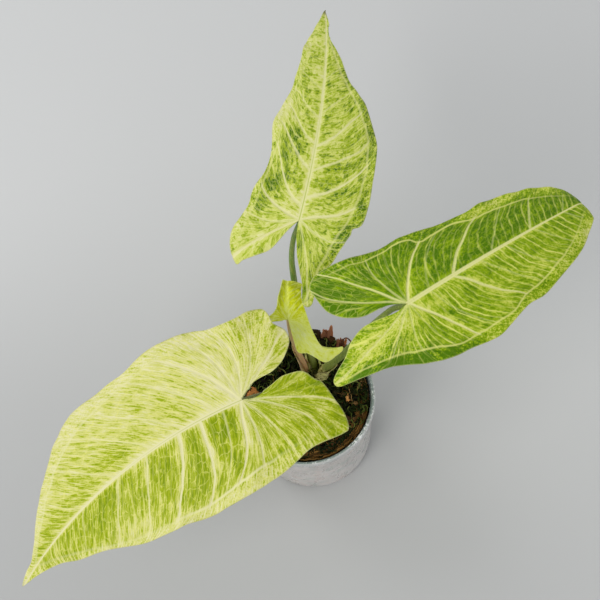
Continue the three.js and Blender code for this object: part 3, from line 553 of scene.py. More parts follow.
# Place, left side and normal of a blade's spine at v.
def spineAt(blade, v):
    steps = 60
    grid = np.linspace(0, 1, steps + 1)

    def turned(share):
        share = np.clip(share, 0, 1)
        most, curlFrom = blade["tipCurl"]
        curl = most * np.clip((share - curlFrom) / (1 - curlFrom), 0, 1) ** 1.3
        pitch = blade["pitch"][0] + (blade["pitch"][1] - blade["pitch"][0]) * share ** blade["droop"] - curl
        heading = blade["heading"] + blade["turn"] * share
        roll = blade["roll"][0] + (blade["roll"][1] - blade["roll"][0]) * share
        pitch, heading, roll = np.radians(pitch), np.radians(heading), np.radians(roll)
        flat = np.cos(pitch)
        along = np.stack([flat * np.cos(heading), flat * np.sin(heading), np.sin(pitch)], -1)
        level = np.stack([-np.sin(heading), np.cos(heading), 0 * heading], -1)
        left = level * np.cos(roll)[..., None] + np.cross(along, level) * np.sin(roll)[..., None]
        return along, left

    along, _ = turned(grid)
    stepLength = blade["length"] / steps
    course = np.cumsum((along[1:] + along[:-1]) / 2, 0) * stepLength
    places = np.array(blade["attach"], float) + np.vstack([np.zeros((1, 3)), course])
    share = v / blade["length"]
    along, left = turned(share)
    place = np.stack([np.interp(np.clip(share, 0, 1), grid, places[:, k]) for k in range(3)], -1)
    place = place + along * np.minimum(v, 0)[..., None]
    return place, left, np.cross(along, left)


# The upper face of a blade over its flat shape.
def faceAt(blade, side, u, v):
    place, left, normal = spineAt(blade, v)
    across = np.sqrt(u * u + blade["crease"] ** 2) - blade["crease"]
    lift = across * math.tan(math.radians(blade["fold"][side]))
    lift = lift - blade["lobeDrop"][side] * (np.minimum(v, 0) / 40) ** 2
    return place + left * u[..., None] + normal * lift[..., None]


# How far each point is from a curve.
def awayFrom(curve, points):
    return np.linalg.norm(points[:, None] - curve[None], axis=2).min(1)


# Rows of flat points that run as the side veins do, from the midrib (or the stalk) to the margin. Each row
# knows its place among the ribs (a whole number on a rib) and among the thin veins between them.
def veinRows(blade, side):
    length = blade["length"]
    margin = splineThrough([(0, length)] + blade["margins"][side] + [(0, 0)], 14)
    total = lengthsAlong(margin)[-1]
    shares = lengthsAlong(margin) / total
    notch = 1 - blade["fan"][2][side] / total
    t = np.concatenate([[0], np.cumsum(np.linspace(0.55, 1.15, bladeMesh["columns"]))])
    t /= t[-1]
    guides = [(length, 0.0, 0.0, np.repeat(np.array([[0.0, length]]), len(t), 0))]
    for start, strength, *course in blade["ribs"][side]:
        nearest = np.argmin(np.linalg.norm(margin - np.array(course[-1]), axis=1))
        curve = splineThrough([(0, start)] + list(course[:-1]) + [tuple(margin[nearest])], 12)
        guides.append((start, shares[nearest], strength, pointsAt(curve, t)))
    guides.append((0, notch, 0.0, np.repeat(pointsAt(margin, [notch]), len(t), 0)))
    gaps, counts = [], []
    for before, after in zip(guides, guides[1:]):
        course = np.gradient(after[3] + before[3], axis=0)
        course /= np.maximum(np.linalg.norm(course, axis=1), 1e-6)[:, None]
        step = after[3] - before[3]
        gaps.append(np.abs(step[:, 0] * course[:, 1] - step[:, 1] * course[:, 0]))
        if after is guides[-1]:
            lobe = margin[(shares > before[1]) & (shares < notch)]
            gaps[-1] = np.full(len(t), awayFrom(before[3], lobe).max())
        counts.append(max(1, round(float(gaps[-1][len(t) // 2:].mean()) / leafSkin["veinSpacing"])))
    placed = np.concatenate([[0], np.cumsum(counts)])
    firstFan = next(i for i, guide in enumerate(guides) if guide[0] == 0)
    rows = []
    midribSteps = int(length / bladeMesh["rowStep"])
    for v in length * (1 - np.arange(midribSteps + 1) / midribSteps):
        i = max(k for k in range(firstFan) if guides[k][0] >= v)
        rows.append((i, (guides[i][0] - v) / (guides[i][0] - guides[i + 1][0]), v))
    fanEnds = [guide[1] for guide in guides[firstFan:]]
    fanSteps = max(6, int((fanEnds[-1] - fanEnds[0]) * total / bladeMesh["rowStep"]))
    for end in fanEnds[0] + (fanEnds[-1] - fanEnds[0]) * np.arange(1, fanSteps + 1) / fanSteps:
        i = firstFan + max(k for k in range(len(fanEnds) - 1) if fanEnds[k] <= end + 1e-9)
        rows.append((i, (end - guides[i][1]) / (guides[i + 1][1] - guides[i][1]), 0.0))
    grid, ends, places, strengths, thin, ribGaps, thinGaps = [], [], [], [], [], [], []
    for i, f, v in rows:
        curve = guides[i][3] * (1 - f) + guides[i + 1][3] * f
        end = guides[i][1] * (1 - f) + guides[i + 1][1] * f
        start = np.array([0.0, v])
        if i == len(guides) - 2:
            start = pointsAt(margin, [1 - (1 - notch) * f])[0]
        curve = curve + (start - curve[0]) * ((1 - t) ** 3)[:, None]
        curve = curve + (pointsAt(margin, [end])[0] - curve[-1]) * (t**3)[:, None]
        grid.append(curve)
        ends.append(end)
        places.append(i + f)
        strengths.append(guides[i][2] * (1 - f) + guides[i + 1][2] * f)
        thin.append(placed[i] + f * counts[i])
        gap = gaps[i]
        if i == len(guides) - 2:  # past the last rib the rows part, so their distance from it is measured
            gap = awayFrom(guides[i][3], curve) / max(0.05, f)
        ribGaps.append(gap * f / max(0.05, min(f, 1 - f)) if i == len(guides) - 2 else gap)
        thinGaps.append(gap / counts[i])
    lists = {"grid": grid, "ends": ends, "place": places, "strength": strengths, "thin": thin,
             "ribGap": ribGaps, "thinGap": thinGaps}
    return {"t": t, "margin": margin, **{key: np.array(value) for key, value in lists.items()}}


# How far flat points lie from a seam, above 0 on the side of the midrib.
def seamDistance(seam, side, flat):
    if not seam:
        return np.full(len(flat), 6.0)
    curve = pointsAt(splineThrough(seam, 8), np.linspace(0, 1, 120))
    course = np.gradient(curve, axis=0)
    course /= np.linalg.norm(course, axis=1)[:, None]
    near = np.argmin(np.linalg.norm(flat[:, None] - curve[None], axis=2), axis=1)
    away = flat - curve[near]
    across = course[near, 0] * away[:, 1] - course[near, 1] * away[:, 0]
    return across if side == 1 else -across


def bladeGeometry(name):
    blade = blades[name]
    heights, count, phases = blade["wave"]
    fanStart, firstLateral, _ = blade["fan"]
    index, faces, points = {}, [], {}
    corners = {"veins": [], "ribs": [], "gaps": []}
    for side in (0, 1):
        rows = veinRows(blade, side)
        grid, t, margin = rows["grid"], rows["t"], rows["margin"]
        shares = lengthsAlong(margin) / lengthsAlong(margin)[-1]
        first = shares[np.argmax(margin[:, 1] < firstLateral[side])]
        ends = rows["ends"]
        onLobe = fanStart + (1 - fanStart) * (ends - first) / (ends[-1] - first)
        order = np.where(ends < first, ends * fanStart / first, onLobe)
        ripple = np.sin(2 * np.pi * (count * order + phases[side]))
        ripple = ripple * np.sqrt(np.sin(np.pi * np.clip(order, 0, 1)))
        u, v = grid[..., 0], grid[..., 1]
        n, m = u.shape
        flat = grid.reshape(-1, 2)
        rowLength = np.linalg.norm(np.diff(grid, axis=1), axis=2).sum(1)
        places = ((x, y, 3.0 + side) for x, y in flat * bladeMesh["crimps"])
        crimp = np.array([noise.noise(Vector(place)) for place in places]).reshape(n, m)
        lift = heights * ripple[:, None] * t[None, :] ** 2.5 + blade["crimp"] * crimp * t[None, :] ** 3
        _, _, normal = spineAt(blade, v)
        upper = faceAt(blade, side, u, v) + normal * lift[..., None]
        gap = (1 - t[None, :]) * rowLength[:, None]
        # how near the point is to a main side vein, as a share of that vein's width
        off = np.abs((rows["place"] + 0.5) % 1 - 0.5)[:, None] * rows["ribGap"]
        width = bladeMesh["ribWidth"] * min(1, blade["length"] / 100) * (1.25 - 0.85 * t[None, :])
        seam = seamDistance(blade["seams"][side], side, flat).reshape(n, m)
        seamShow = np.interp(v, *zip(*blade["seamShow"][side]))
        # the side veins fade out past the seam, except on the lobes
        inside = np.where(v > -2, smoothStep(seam, -1.2, 0.4), 1.0)
        strength = rows["strength"][:, None] * (0.15 + 0.85 * inside)
        thinShow = blade["thinStrength"][side] * (0.35 + 0.65 * inside)
        plainNet, *lobeNets = blade["netStrength"]
        netShow = plainNet + (lobeNets[side] - plainNet) * smoothStep(-v, -2, 9)
        # tissue past the seam, and on some lobes, is speckled
        pastSeam, *onLobes = blade["speckle"]
        brim = 1 - smoothStep(seam, -1, 0.3)
        speckle = np.maximum(pastSeam * brim, onLobes[side] * smoothStep(-v, -2, 9))
        ribs = np.exp(-((off / width) ** 2)) * strength
        # on some leaves no vein is drawn in the green brim past the seam
        drawn = 1 - blade["plainBrim"][side] * brim
        strength, thinShow, netShow = strength * drawn * blade["ribShow"], thinShow * drawn, netShow * drawn
        ribs = np.maximum(ribs, 0.7 * seamShow * np.exp(-((seam / 0.5) ** 2)))
        green = np.full((n, m), blade["green"][side], float)
        for pu, pv, ru, rv, more in blade["patches"]:
            if pu * (1 - 2 * side) >= 0:
                green = green + more * np.exp(-(((u - pu) / ru) ** 2) - ((v - pv) / rv) ** 2)
        green = green + blade["edge"][side] * (1 - smoothStep(seam, -1.2, 0.4)) * smoothStep(v, -14, 0)
        fields = {
            "flat": grid, "upper": upper, "ribs": ribs, "share": np.tile(t, (n, 1)), "green": green,
            "ribStrength": strength, "seamShow": seamShow, "thinShow": thinShow, "netShow": netShow,
            "speckle": speckle, "marginGap": gap,
        }
        # points that two rows share are made once
        ids = np.zeros((n, m), int)
        for i in range(n):
            for j in range(m):
                place = (round(u[i, j], 3), round(v[i, j], 3))
                if place not in index:
                    index[place] = len(index)
                    for key, field in fields.items():
                        points.setdefault(key, []).append(field[i, j])
                ids[i, j] = index[place]
        thin, place = (np.repeat(rows[key][:, None], m, 1) for key in ("thin", "place"))
        values = {
            "veins": np.stack([thin + 100 * side, rowLength[:, None] * t[None, :]], -1),
            "ribs": np.stack([place, rows["ribGap"]], -1),
            "gaps": np.stack([rows["thinGap"], seam], -1),
        }
        for i in range(n - 1):
            for j in range(m - 1):
                quad = [(i, j), (i + 1, j), (i + 1, j + 1), (i, j + 1)]
                if side == 0:
                    quad.reverse()
                kept = []
                for corner in quad:
                    if not kept or (ids[corner] != ids[kept[-1]] and ids[corner] != ids[kept[0]]):
                        kept.append(corner)
                if len(kept) < 3:
                    continue
                faces.append([ids[corner] for corner in kept])
                for key, value in values.items():
                    corners[key].append([value[corner] for corner in kept])
    return {key: np.array(value) for key, value in points.items()}, faces, corners


def vertexNormals(points, faces):
    normals = np.zeros_like(points)
    thirds = np.array([(f[0], f[k], f[k + 1]) for f in faces for k in range(1, len(f) - 1)])
    cross = np.cross(points[thirds[:, 1]] - points[thirds[:, 0]], points[thirds[:, 2]] - points[thirds[:, 0]])
    for k in range(3):
        np.add.at(normals, thirds[:, k], cross)
    return normals / np.linalg.norm(normals, axis=1)[:, None]


def makeBlade(name, material):
    blade = blades[name]
    size = min(1, blade["length"] / 100)
    points, faces, corners = bladeGeometry(name)
    u, v = points["flat"].T
    along = np.clip(v / blade["length"], 0, 1)
    gap, ribs = points["marginGap"], points["ribs"]
    midrib = np.exp(-((u / (bladeMesh["midribWidth"] * size * (1 - 0.75 * along))) ** 2)) * (v > -0.5)
    swell = (1 - ribs) * (1 - np.exp(-((u / 3.0) ** 2))) * smoothStep(gap, 0, 5)
    normals = vertexNormals(points["upper"], faces)
    quilt = bladeMesh["quilt"] * size * swell
    top = points["upper"] + normals * (quilt - bladeMesh["sink"] * size * np.maximum(ribs, midrib))[:, None]
    inner = smoothStep(gap, 0, 3)
    depth = bladeMesh["marginThickness"] + (bladeMesh["thickness"] - bladeMesh["marginThickness"]) * inner
    depth = depth + bladeMesh["midribDepth"] * size * (1 - along) * midrib
    depth = depth + bladeMesh["ribDepth"] * size * ribs * inner
    under = points["upper"] + normals * (quilt - depth)[:, None]
    n = len(u)
    shell = [list(f) for f in faces] + [[i + n for i in reversed(f)] for f in faces]
    uvs = {key: value + [list(reversed(c)) for c in value] for key, value in corners.items()}
    edges = {}
    for index, face in enumerate(faces):
        for k in range(len(face)):
            edges[(face[k], face[(k + 1) % len(face)])] = (index, k, (k + 1) % len(face))
    for (a, b), (index, first, second) in edges.items():
        if (b, a) not in edges:
            shell.append([b, a, a + n, b + n])
            for key, value in corners.items():
                one, two = value[index][first], value[index][second]
                uvs[key].append([two, one, one, two])
    for key in ("flat", "upper", "ribs"):
        del points[key]
    points.update({"fromMidrib": np.hypot(u, np.minimum(v, 0)), "along": along})
    attributes = {key: np.tile(value, 2) for key, value in points.items()}
    attributes["under"] = np.repeat([0.0, 1.0], n)
    uvs = {key: np.array([corner for face in value for corner in face]) for key, value in uvs.items()}
    piece = meshObject("leafBlade." + name, np.vstack([top, under]), shell, material, attributes, uvs)
    settle(piece, leafSlots[name], "blade_" + name)
    print("blade", name, len(shell), "faces")


leafSlots = {"back": "pale_leaf", "right": "green_leaf", "front": "cream_leaf", "young": "young_leaf"}

leafSkin = {
    "roughness": 0.42,
    "gloss": 0.08,
    "relief": (0.25, 0.0002),  # how strong, and how deep in metres
    "veinSpacing": 2.3,        # between the thin veins, in millimetres
    "flecks": 1400.0,          # how many to a metre, as for the next four
    "clouds": 140.0,
    "crinkles": 420.0,
    "ribWaves": 170.0,
    "seamWaves": 130.0,
    "underTint": rgb(176, 190, 120),
    "dryTint": rgb(96, 92, 52),
}


def leafMaterial(name):
    blade = blades[name]
    material, nodes = newMaterial("leafSkin." + name)
    body = nodes.onPiece()
    ribs, gaps = nodes.split(nodes.uvs("ribs")), nodes.split(nodes.uvs("gaps"))
    share, along, under = (nodes.attribute(key) for key in ("share", "along", "under"))

    # distance in millimetres from the nearest line where a count is whole
    def fromLine(count, gap):
        off = nodes.minus(nodes.math("FRACT", nodes.plus(count, 0.5)), 0.5)
        return nodes.times(nodes.math("ABSOLUTE", off), gap)

    def faded(value, *fades):
        for fade in fades:
            value = nodes.times(value, fade)
        return value

    # the thin veins leave the midrib more squarely than the main side veins do
    count, outward, _ = nodes.split(nodes.uvs("veins"))
    count = nodes.scaled(nodes.math("MINIMUM", outward, 14.0), -blade["slant"], count)
    veins = nodes.join(count, outward)

    # noise that is drawn out along the veins
    def drawnOut(across, lengthwise, offset, *detail):
        return nodes.noise(nodes.stretch(veins, (across, lengthwise, 1), offset), 1.0, *detail)

    # tissue: streaks that follow the veins, the meshes between them, and fine flecks
    across, lengthwise = blade["streak"]
    wander = drawnOut(0.45, 0.12, (0, 0, 0), 2.0)
    streaks = drawnOut(across, lengthwise, (31, 7, 0), 3.0, 0.6, 0.2)
    hairs = drawnOut(across * 2.9, lengthwise * 1.7, (3, 47, 0), 2.0, 0.6)
    flecks = nodes.noise(body, leafSkin["flecks"], 2.0, 0.6)
    clouds = nodes.noise(body, leafSkin["clouds"], 2.0, 0.5)
    crinkle = {"Vector": body, "Scale": leafSkin["crinkles"]}
    crinkle = nodes.add("ShaderNodeTexNoise", crinkle).outputs["Color"]
    meshWide, meshLong = blade["mesh"]
    bent = nodes.stretch(veins, (meshWide, 1 / meshLong, 1))
    for bend in (nodes.join(nodes.times(wander, 1.7)), nodes.stretch(crinkle, (0.7, 0.5, 0))):
        bent = nodes.vectors("ADD", bent, bend)

    def meshes(output, feature):
        inputs = {"Vector": bent, "Scale": 1.0}
        cells = nodes.add("ShaderNodeTexVoronoi", inputs, voronoi_dimensions="2D", feature=feature)
        return cells.outputs[output]

    meshTone = nodes.add("ShaderNodeSeparateColor", {"Color": meshes("Color", "F1")}).outputs[0]
    grain = 0.0
    parts = (flecks, streaks, hairs, meshTone, clouds, flecks)
    for part, weight in zip(parts, (0.7, *blade["grain"], 0.5, nodes.attribute("speckle"))):
        grain = nodes.scaled(nodes.minus(part, 0.5), weight, grain)
    amount = nodes.minus(nodes.attribute("green"), nodes.plus(grain, 0.5))

    # the main side veins and the midrib, each with a paler halo
    strength = nodes.attribute("ribStrength")
    ribWidth = nodes.times(nodes.smooth(share, 0.0, 1.0, 0.86, 0.36), nodes.scaled(strength, 0.6, 0.4))
    waver = nodes.scaled(nodes.noise(body, leafSkin["ribWaves"], 2.0), 0.1, -0.05)
    rib = nodes.math("DIVIDE", fromLine(nodes.plus(ribs[0], waver), ribs[1]), ribWidth)
    ribCore = nodes.times(nodes.smooth(rib, 0.35, 1.25, 1.0, 0.0), strength)
    ribHalo = nodes.times(nodes.smooth(rib, 0.6, 4.6, 1.0, 0.0), strength)
    taper = nodes.smooth(along, 0.0, 1.0, 1.0, 0.3)
    fromMidrib = nodes.math("DIVIDE", nodes.attribute("fromMidrib"), taper)
    midrib = nodes.smooth(fromMidrib, 0.55, 1.15, blade["midribShow"], 0.0)
    midribHalo = nodes.smooth(fromMidrib, 0.8, 3.2, 1.0, 0.0)

    # the seam inside the margin
    wobble = nodes.scaled(nodes.noise(body, leafSkin["seamWaves"], 2.0), 1.6, -0.8)
    seam = nodes.math("ABSOLUTE", nodes.plus(gaps[1], wobble))
    seamCore = nodes.smooth(seam, 0.12, blade["seamWidth"] + 0.1, 1.0, 0.0)
    seamCore = nodes.times(seamCore, nodes.attribute("seamShow"))

    # the thin veins, some of them fainter than others, and the net between them
    thinCount = nodes.plus(count, nodes.scaled(wander, 0.9, -0.45))
    whole = nodes.math("FLOOR", nodes.plus(thinCount, 0.5))
    chance = nodes.add("ShaderNodeTexWhiteNoise", {"W": whole}, noise_dimensions="1D").outputs["Value"]
    thin = faded(
        nodes.smooth(fromLine(thinCount, gaps[0]), 0.1, 0.42, 1.0, 0.0), nodes.smooth(gaps[0], 1.0, 2.1),
        nodes.smooth(streaks, 0.36, 0.62, 0.35, 1.0), nodes.smooth(chance, 0.1, 0.7, 0.4, 1.0),
        nodes.attribute("thinShow"))
    netShow = nodes.attribute("netShow")
    walls = nodes.scaled(netShow, -blade["netWidth"], meshes("Distance", "DISTANCE_TO_EDGE"))
    net = faded(
        nodes.smooth(walls, 0.015, 0.085, 1.0, 0.0), nodes.smooth(streaks, 0.35, 0.6, 0.3, 1.0),
        nodes.smooth(gaps[0], 0.7, 1.6), netShow)
    lines = nodes.larger(thin, net)

    # the green gives way to cream along the veins
    amount = nodes.minus(amount, nodes.times(nodes.larger(ribHalo, midribHalo), blade["haloPull"]))
    greenTone = nodes.mix(nodes.smooth(amount, 0.1, 1.0), blade["mid"], blade["deep"])
    paleTone = nodes.mix(nodes.smooth(amount, -1.2, -0.1), blade["cream"], blade["pale"])
    colour = nodes.mix(nodes.smooth(amount, -blade["sharp"], blade["sharp"]), paleTone, greenTone)
    brim = nodes.smooth(nodes.attribute("marginGap"), 0.1, 0.6, 0.35, 0.0)
    strong = nodes.times(nodes.larger(ribCore, midrib), nodes.smooth(flecks, 0.3, 0.5, 0.8, 1.0))
    strong = nodes.larger(strong, brim)
    groove = nodes.smooth(along, 0.02, 0.6, blade["groove"], 0.0)
    groove = nodes.times(nodes.smooth(fromMidrib, 0.05, 0.32, 1.0, 0.0), groove)
    dry = nodes.smooth(along, 0.955, 0.985, 0.0, blade["dryTip"])
    for part, tint in ((lines, blade["line"]), (seamCore, blade["seam"]), (strong, blade["cream"]),
                       (groove, blade["mid"]), (dry, leafSkin["dryTint"])):
        colour = nodes.mix(part, colour, tint)

    # the under face is duller and paler
    colour = nodes.mix(under, colour, nodes.mix(0.55, colour, leafSkin["underTint"]))
    raised = nodes.larger(nodes.larger(lines, seamCore), strong)
    relief = nodes.scaled(flecks, 0.4, nodes.times(raised, -0.6))
    rough = nodes.scaled(under, 0.15, nodes.scaled(flecks, 0.2, leafSkin["roughness"] - 0.1))
    nodes.finish(colour, rough, (relief, *leafSkin["relief"]), {"Specular IOR Level": leafSkin["gloss"]})
    return material


for leaf in blades:
    makeBlade(leaf, leafMaterial(leaf))

# Leaf stalks, their sheaths and the short stem

# Each stalk's course in millimetres, from the stem up to just under its blade, its radius at both ends, and
# how far up it is speckled, in metres.
stalks = {
    "back": {
        "course": [(6.9, 12.2, 55), (6.8, 14.2, 60.5), (6.3, 22.6, 68), (6.0, 31.8, 78), (6.7, 38.6, 93),
                   (7.8, 40.6, 112), (10.3, 40.2, 132)],
        "radius": (1.75, 1.05), "green": rgb(106, 138, 56), "foot": rgb(130, 142, 64),
        "flush": rgb(138, 148, 74), "speckled": 0,
    },
    "right": {
        "course": [(9.2, 8.4, 55), (9.8, 7.9, 61), (12.3, 6.2, 71), (20.5, 4.2, 89), (31.3, 3.0, 114),
                   (40.2, 0.3, 136)],
        "radius": (1.9, 1.15), "green": rgb(130, 148, 60), "foot": rgb(142, 148, 72),
        "flush": rgb(110, 124, 54), "speckled": 0.017,
    },
    "front": {
        "course": [(4.2, 6.8, 55), (2.9, 5.6, 61.5), (-1.9, 0.5, 74), (-9.4, -6.9, 93),
                   (-17.0, -13.3, 111.5)],
        "radius": (1.75, 1.25), "green": rgb(132, 144, 66), "foot": rgb(110, 112, 60),
        "flush": rgb(142, 124, 84), "speckled": 0.009,
    },
    "young": {
        "course": [(3.4, 11.0, 55), (2.9, 11.7, 62), (1.6, 12.9, 78), (0.5, 14.4, 95)],
        "radius": (1.25, 0.85), "green": rgb(206, 182, 124), "foot": rgb(206, 160, 112),
        "flush": rgb(226, 172, 126), "speckled": 0,
    },
}

stalkMesh = {
    "rings": 110, "sides": 20,
    "knee": 0.12, "kneeAt": 0.93,  # how much thicker the knee under the blade is, and where
    "narrowing": 0.55,             # how much the head narrows where it runs into the midrib
    "cover": 0.45,                 # what lies between a stalk and the upper face of its blade, in millimetres
}

# Sheaths clasp the feet of the stalks: where they start and end along the stalk, radius at the foot,
# half of the arc that they cover there in degrees, their two shades, and how speckled with cream they are.
sheaths = {
    "back": {"from": 0.0, "to": 0.2, "radius": 3.3, "cover": 150,
             "shades": (rgb(162, 176, 80), rgb(232, 236, 150)), "speckle": 0.25},
    "right": {"from": 0.0, "to": 0.2, "radius": 3.1, "cover": 140,
              "shades": (rgb(126, 112, 54), rgb(228, 220, 138)), "speckle": 1.3},
    "front": {"from": 0.0, "to": 0.26, "radius": 3.0, "cover": 140,
              "shades": (rgb(170, 174, 88), rgb(226, 226, 146)), "speckle": 0.4},
    "young": {"from": 0.0, "to": 0.44, "radius": 2.3, "cover": 130,
              "shades": (rgb(176, 132, 98), rgb(232, 200, 152)), "speckle": 0.3},
}

sheathMesh = {"rows": 44, "columns": 40, "wall": 0.42, "thinning": 0.24, "flare": 0.12, "opening": 0.85}

stem = {
    "centre": (6.4, 9.2), "radius": 5.0, "foot": 38.5, "top": 57.5, "rings": 4, "ringHeight": 0.35,
    "dark": rgb(74, 78, 34), "light": rgb(132, 124, 74),
}

stalkSkin = {
    "gloss": 0.3,
    "softness": (0.8, 1.0, 0.3),  # how far red, green and blue light wander inside
    "streaks": (1600, 1600, 120),  # how many to a metre in x, y and z
    "sheathStreaks": (1100, 1100, 210),
    "spotScale": 900.0,
    "spots": rgb(196, 196, 140),
    "speckles": [(0.4, rgb(86, 76, 28)), (0.5, rgb(150, 142, 64)), (0.6, rgb(220, 212, 136))],
    "sheathSpots": rgb(224, 218, 146),
    "sheathEdge": rgb(176, 166, 116),
}


# A Geometry Nodes tree. It starts from its Geometry input and its named sizes.
class GrowthTree(Nodes):
    def __init__(self, name, sizes):
        super().__init__(bpy.data.node_groups.new(name, "GeometryNodeTree"))
        face = self.tree.interface
        face.new_socket("Geometry", in_out="OUTPUT", socket_type="NodeSocketGeometry")
        face.new_socket("Geometry", in_out="INPUT", socket_type="NodeSocketGeometry")
        for size, value in sizes.items():
            kind = "NodeSocketInt" if isinstance(value, int) else "NodeSocketFloat"
            face.new_socket(size, in_out="INPUT", socket_type=kind).default_value = value
        face.new_socket("Finish", in_out="INPUT", socket_type="NodeSocketMaterial")
        self.given = self.add("NodeGroupInput").outputs

    def store(self, geometry, name, value, domain):
        inputs = {"Geometry": geometry, "Name": name, "Value": value}
        return self.add("GeometryNodeStoreNamedAttribute", inputs, domain=domain).outputs[0]

    def chance(self, kind, seed):
        return self.add("FunctionNodeRandomValue", {"Seed": seed}, data_type=kind)

    def close(self, geometry):
        real = self.add("GeometryNodeRealizeInstances", {"Geometry": geometry}).outputs[0]
        soft = self.add("GeometryNodeSetShadeSmooth", {"Geometry": real}).outputs[0]
        painted = {"Geometry": soft, "Material": self.given["Finish"]}
        painted = self.add("GeometryNodeSetMaterial", painted).outputs[0]
        self.add("NodeGroupOutput", {"Geometry": painted})
        return self.tree


# Runs a tree on a scaffold object and keeps the result as a plain mesh.
def grow(name, scaffold, tree, material, **sizes):
    modifier = scaffold.modifiers.new("growth", "NODES")
    modifier.node_group = tree
    for item in tree.interface.items_tree:
        if item.item_type == "SOCKET" and item.in_out == "INPUT":
            if item.name == "Finish":
                modifier[item.identifier] = material
            elif item.name in sizes:
                modifier[item.identifier] = sizes[item.name]
    mesh = finishedMesh(scaffold)
    mesh.name = name
    bpy.data.objects.remove(scaffold)
    return putInScene(name, mesh)


# Turns every line of points into a round strand, as thick as the points' radius says (in metres).
def strandTree():
    tree = GrowthTree("strands", {"Sides": 8})
    line = tree.add("GeometryNodeMeshToCurve", {"Mesh": tree.given["Geometry"]}).outputs[0]
    line = tree.store(line, "along", tree.add("GeometryNodeSplineParameter").outputs["Length"], "POINT")
    ring = {"Resolution": tree.given["Sides"], "Radius": 1.0}
    tube = {
        "Curve": line, "Profile Curve": tree.add("GeometryNodeCurvePrimitiveCircle", ring).outputs[0],
        "Scale": tree.add("GeometryNodeInputNamedAttribute", {"Name": "radius"}).outputs[0],
        "Fill Caps": True,
    }
    return tree.close(tree.add("GeometryNodeCurveToMesh", tube).outputs[0])


strands = strandTree()


# Lines of points with their radii, in millimetres, and their tints, grown into strands.
def growStrands(name, lines, radii, tints, sides, material):
    edges, start = [], 0
    for line in lines:
        edges += [(start + k, start + k + 1) for k in range(len(line) - 1)]
        start += len(line)
    values = {"radius": np.concatenate(radii).astype(np.float32) * mm}
    if tints is not None:
        values["tint"] = np.concatenate(tints)
    scaffold = meshObject(name + ".course", np.vstack(lines), [], attributes=values, edges=edges)
    return grow(name, scaffold, strands, material, Sides=sides)


# The stalk's course in millimetres, with the head that runs into the midrib under the blade.
def stalkCourse(name):
    place, _, normal = spineAt(blades[name], np.array([0.0, 5.0, 11.0]))
    size = min(1, blades[name]["length"] / 100)
    depth = np.array([2.2, 2.0, 1.3]) * size
    head = place - normal * depth[:, None]
    return splineThrough(stalks[name]["course"] + [tuple(p) for p in head], 12)


# Pushes the end of a stalk down until it is clear of the blade's upper face.
def keepUnder(name, course, radius):
    v = np.linspace(-6, 14, 81)
    place, _, normal = spineAt(blades[name], v)
    for k in range(len(course)):
        nearest = np.argmin(np.linalg.norm(place - course[k], axis=1))
        if np.linalg.norm(place[nearest] - course[k]) > 6:
            continue
        depth = np.dot(place[nearest] - course[k], normal[nearest])
        course[k] -= normal[nearest] * max(0.0, radius[k] + stalkMesh["cover"] - depth)
    return course


def stalkMaterial(name):
    stalk = stalks[name]
    material, nodes = newMaterial("stalkSkin." + name)
    body, along = nodes.onPiece(), nodes.attribute("along")
    streaks = nodes.noise(nodes.stretch(body, stalkSkin["streaks"]), 1.0, 3.0, 0.6)
    spots = nodes.noise(body, stalkSkin["spotScale"], 2.0, 0.6)
    colour = nodes.mix(nodes.smooth(along, 0.004, 0.04), stalk["foot"], stalk["green"])
    colour = nodes.mix(nodes.smooth(streaks, 0.42, 0.66), colour, stalk["flush"])
    colour = nodes.mix(nodes.times(nodes.smooth(spots, 0.6, 0.72), 0.5), colour, stalkSkin["spots"])
    if stalk["speckled"]:
        grain = nodes.noise(nodes.stretch(body, (800, 800, 500)), 1.0, 2.0, 0.6)
        low = nodes.smooth(along, stalk["speckled"] * 0.7, stalk["speckled"], 1.0, 0.0)
        colour = nodes.mix(low, colour, nodes.ramp(grain, stalkSkin["speckles"]))
    nodes.finish(colour, nodes.scaled(spots, 0.2, 0.4), (streaks, 0.3, 0.0003), {
        "Specular IOR Level": stalkSkin["gloss"], **softInside(0.1, stalkSkin["softness"], 0.001),
    })
    return material


def makeStalk(name):
    foot, head = stalks[name]["radius"]
    share = np.linspace(0, 1, stalkMesh["rings"])
    course = pointsAt(stalkCourse(name), share)
    radius = foot + (head - foot) * np.clip(share * 1.4, 0, 1)
    radius = radius * (1 + stalkMesh["knee"] * np.exp(-((share - stalkMesh["kneeAt"]) / 0.035) ** 2))
    radius = radius * (1 - stalkMesh["narrowing"] * smoothStep(share, 0.95, 1.0))
    course = keepUnder(name, course, radius)
    material = stalkMaterial(name)
    piece = growStrands("leafStalk." + name, [course], [radius], None, stalkMesh["sides"], material)
    settle(piece, name + "_stalk", "petiole_" + name)


# Faces of a shell made of two grids of n by m points, the outer one first.
def shellFaces(n, m):
    count = n * m
    faces = []
    for i in range(n - 1):
        for j in range(m - 1):
            a, b, c, d = i * m + j, (i + 1) * m + j, (i + 1) * m + j + 1, i * m + j + 1
            faces += [(a, b, c, d), (d + count, c + count, b + count, a + count)]
    rim = [i * m for i in range(n)] + [(n - 1) * m + j for j in range(1, m)]
    rim += [i * m + m - 1 for i in range(n - 2, -1, -1)] + list(range(m - 2, 0, -1))
    for a, b in zip(rim, rim[1:] + rim[:1]):
        faces.append((b, a, a + count, b + count))
    return faces


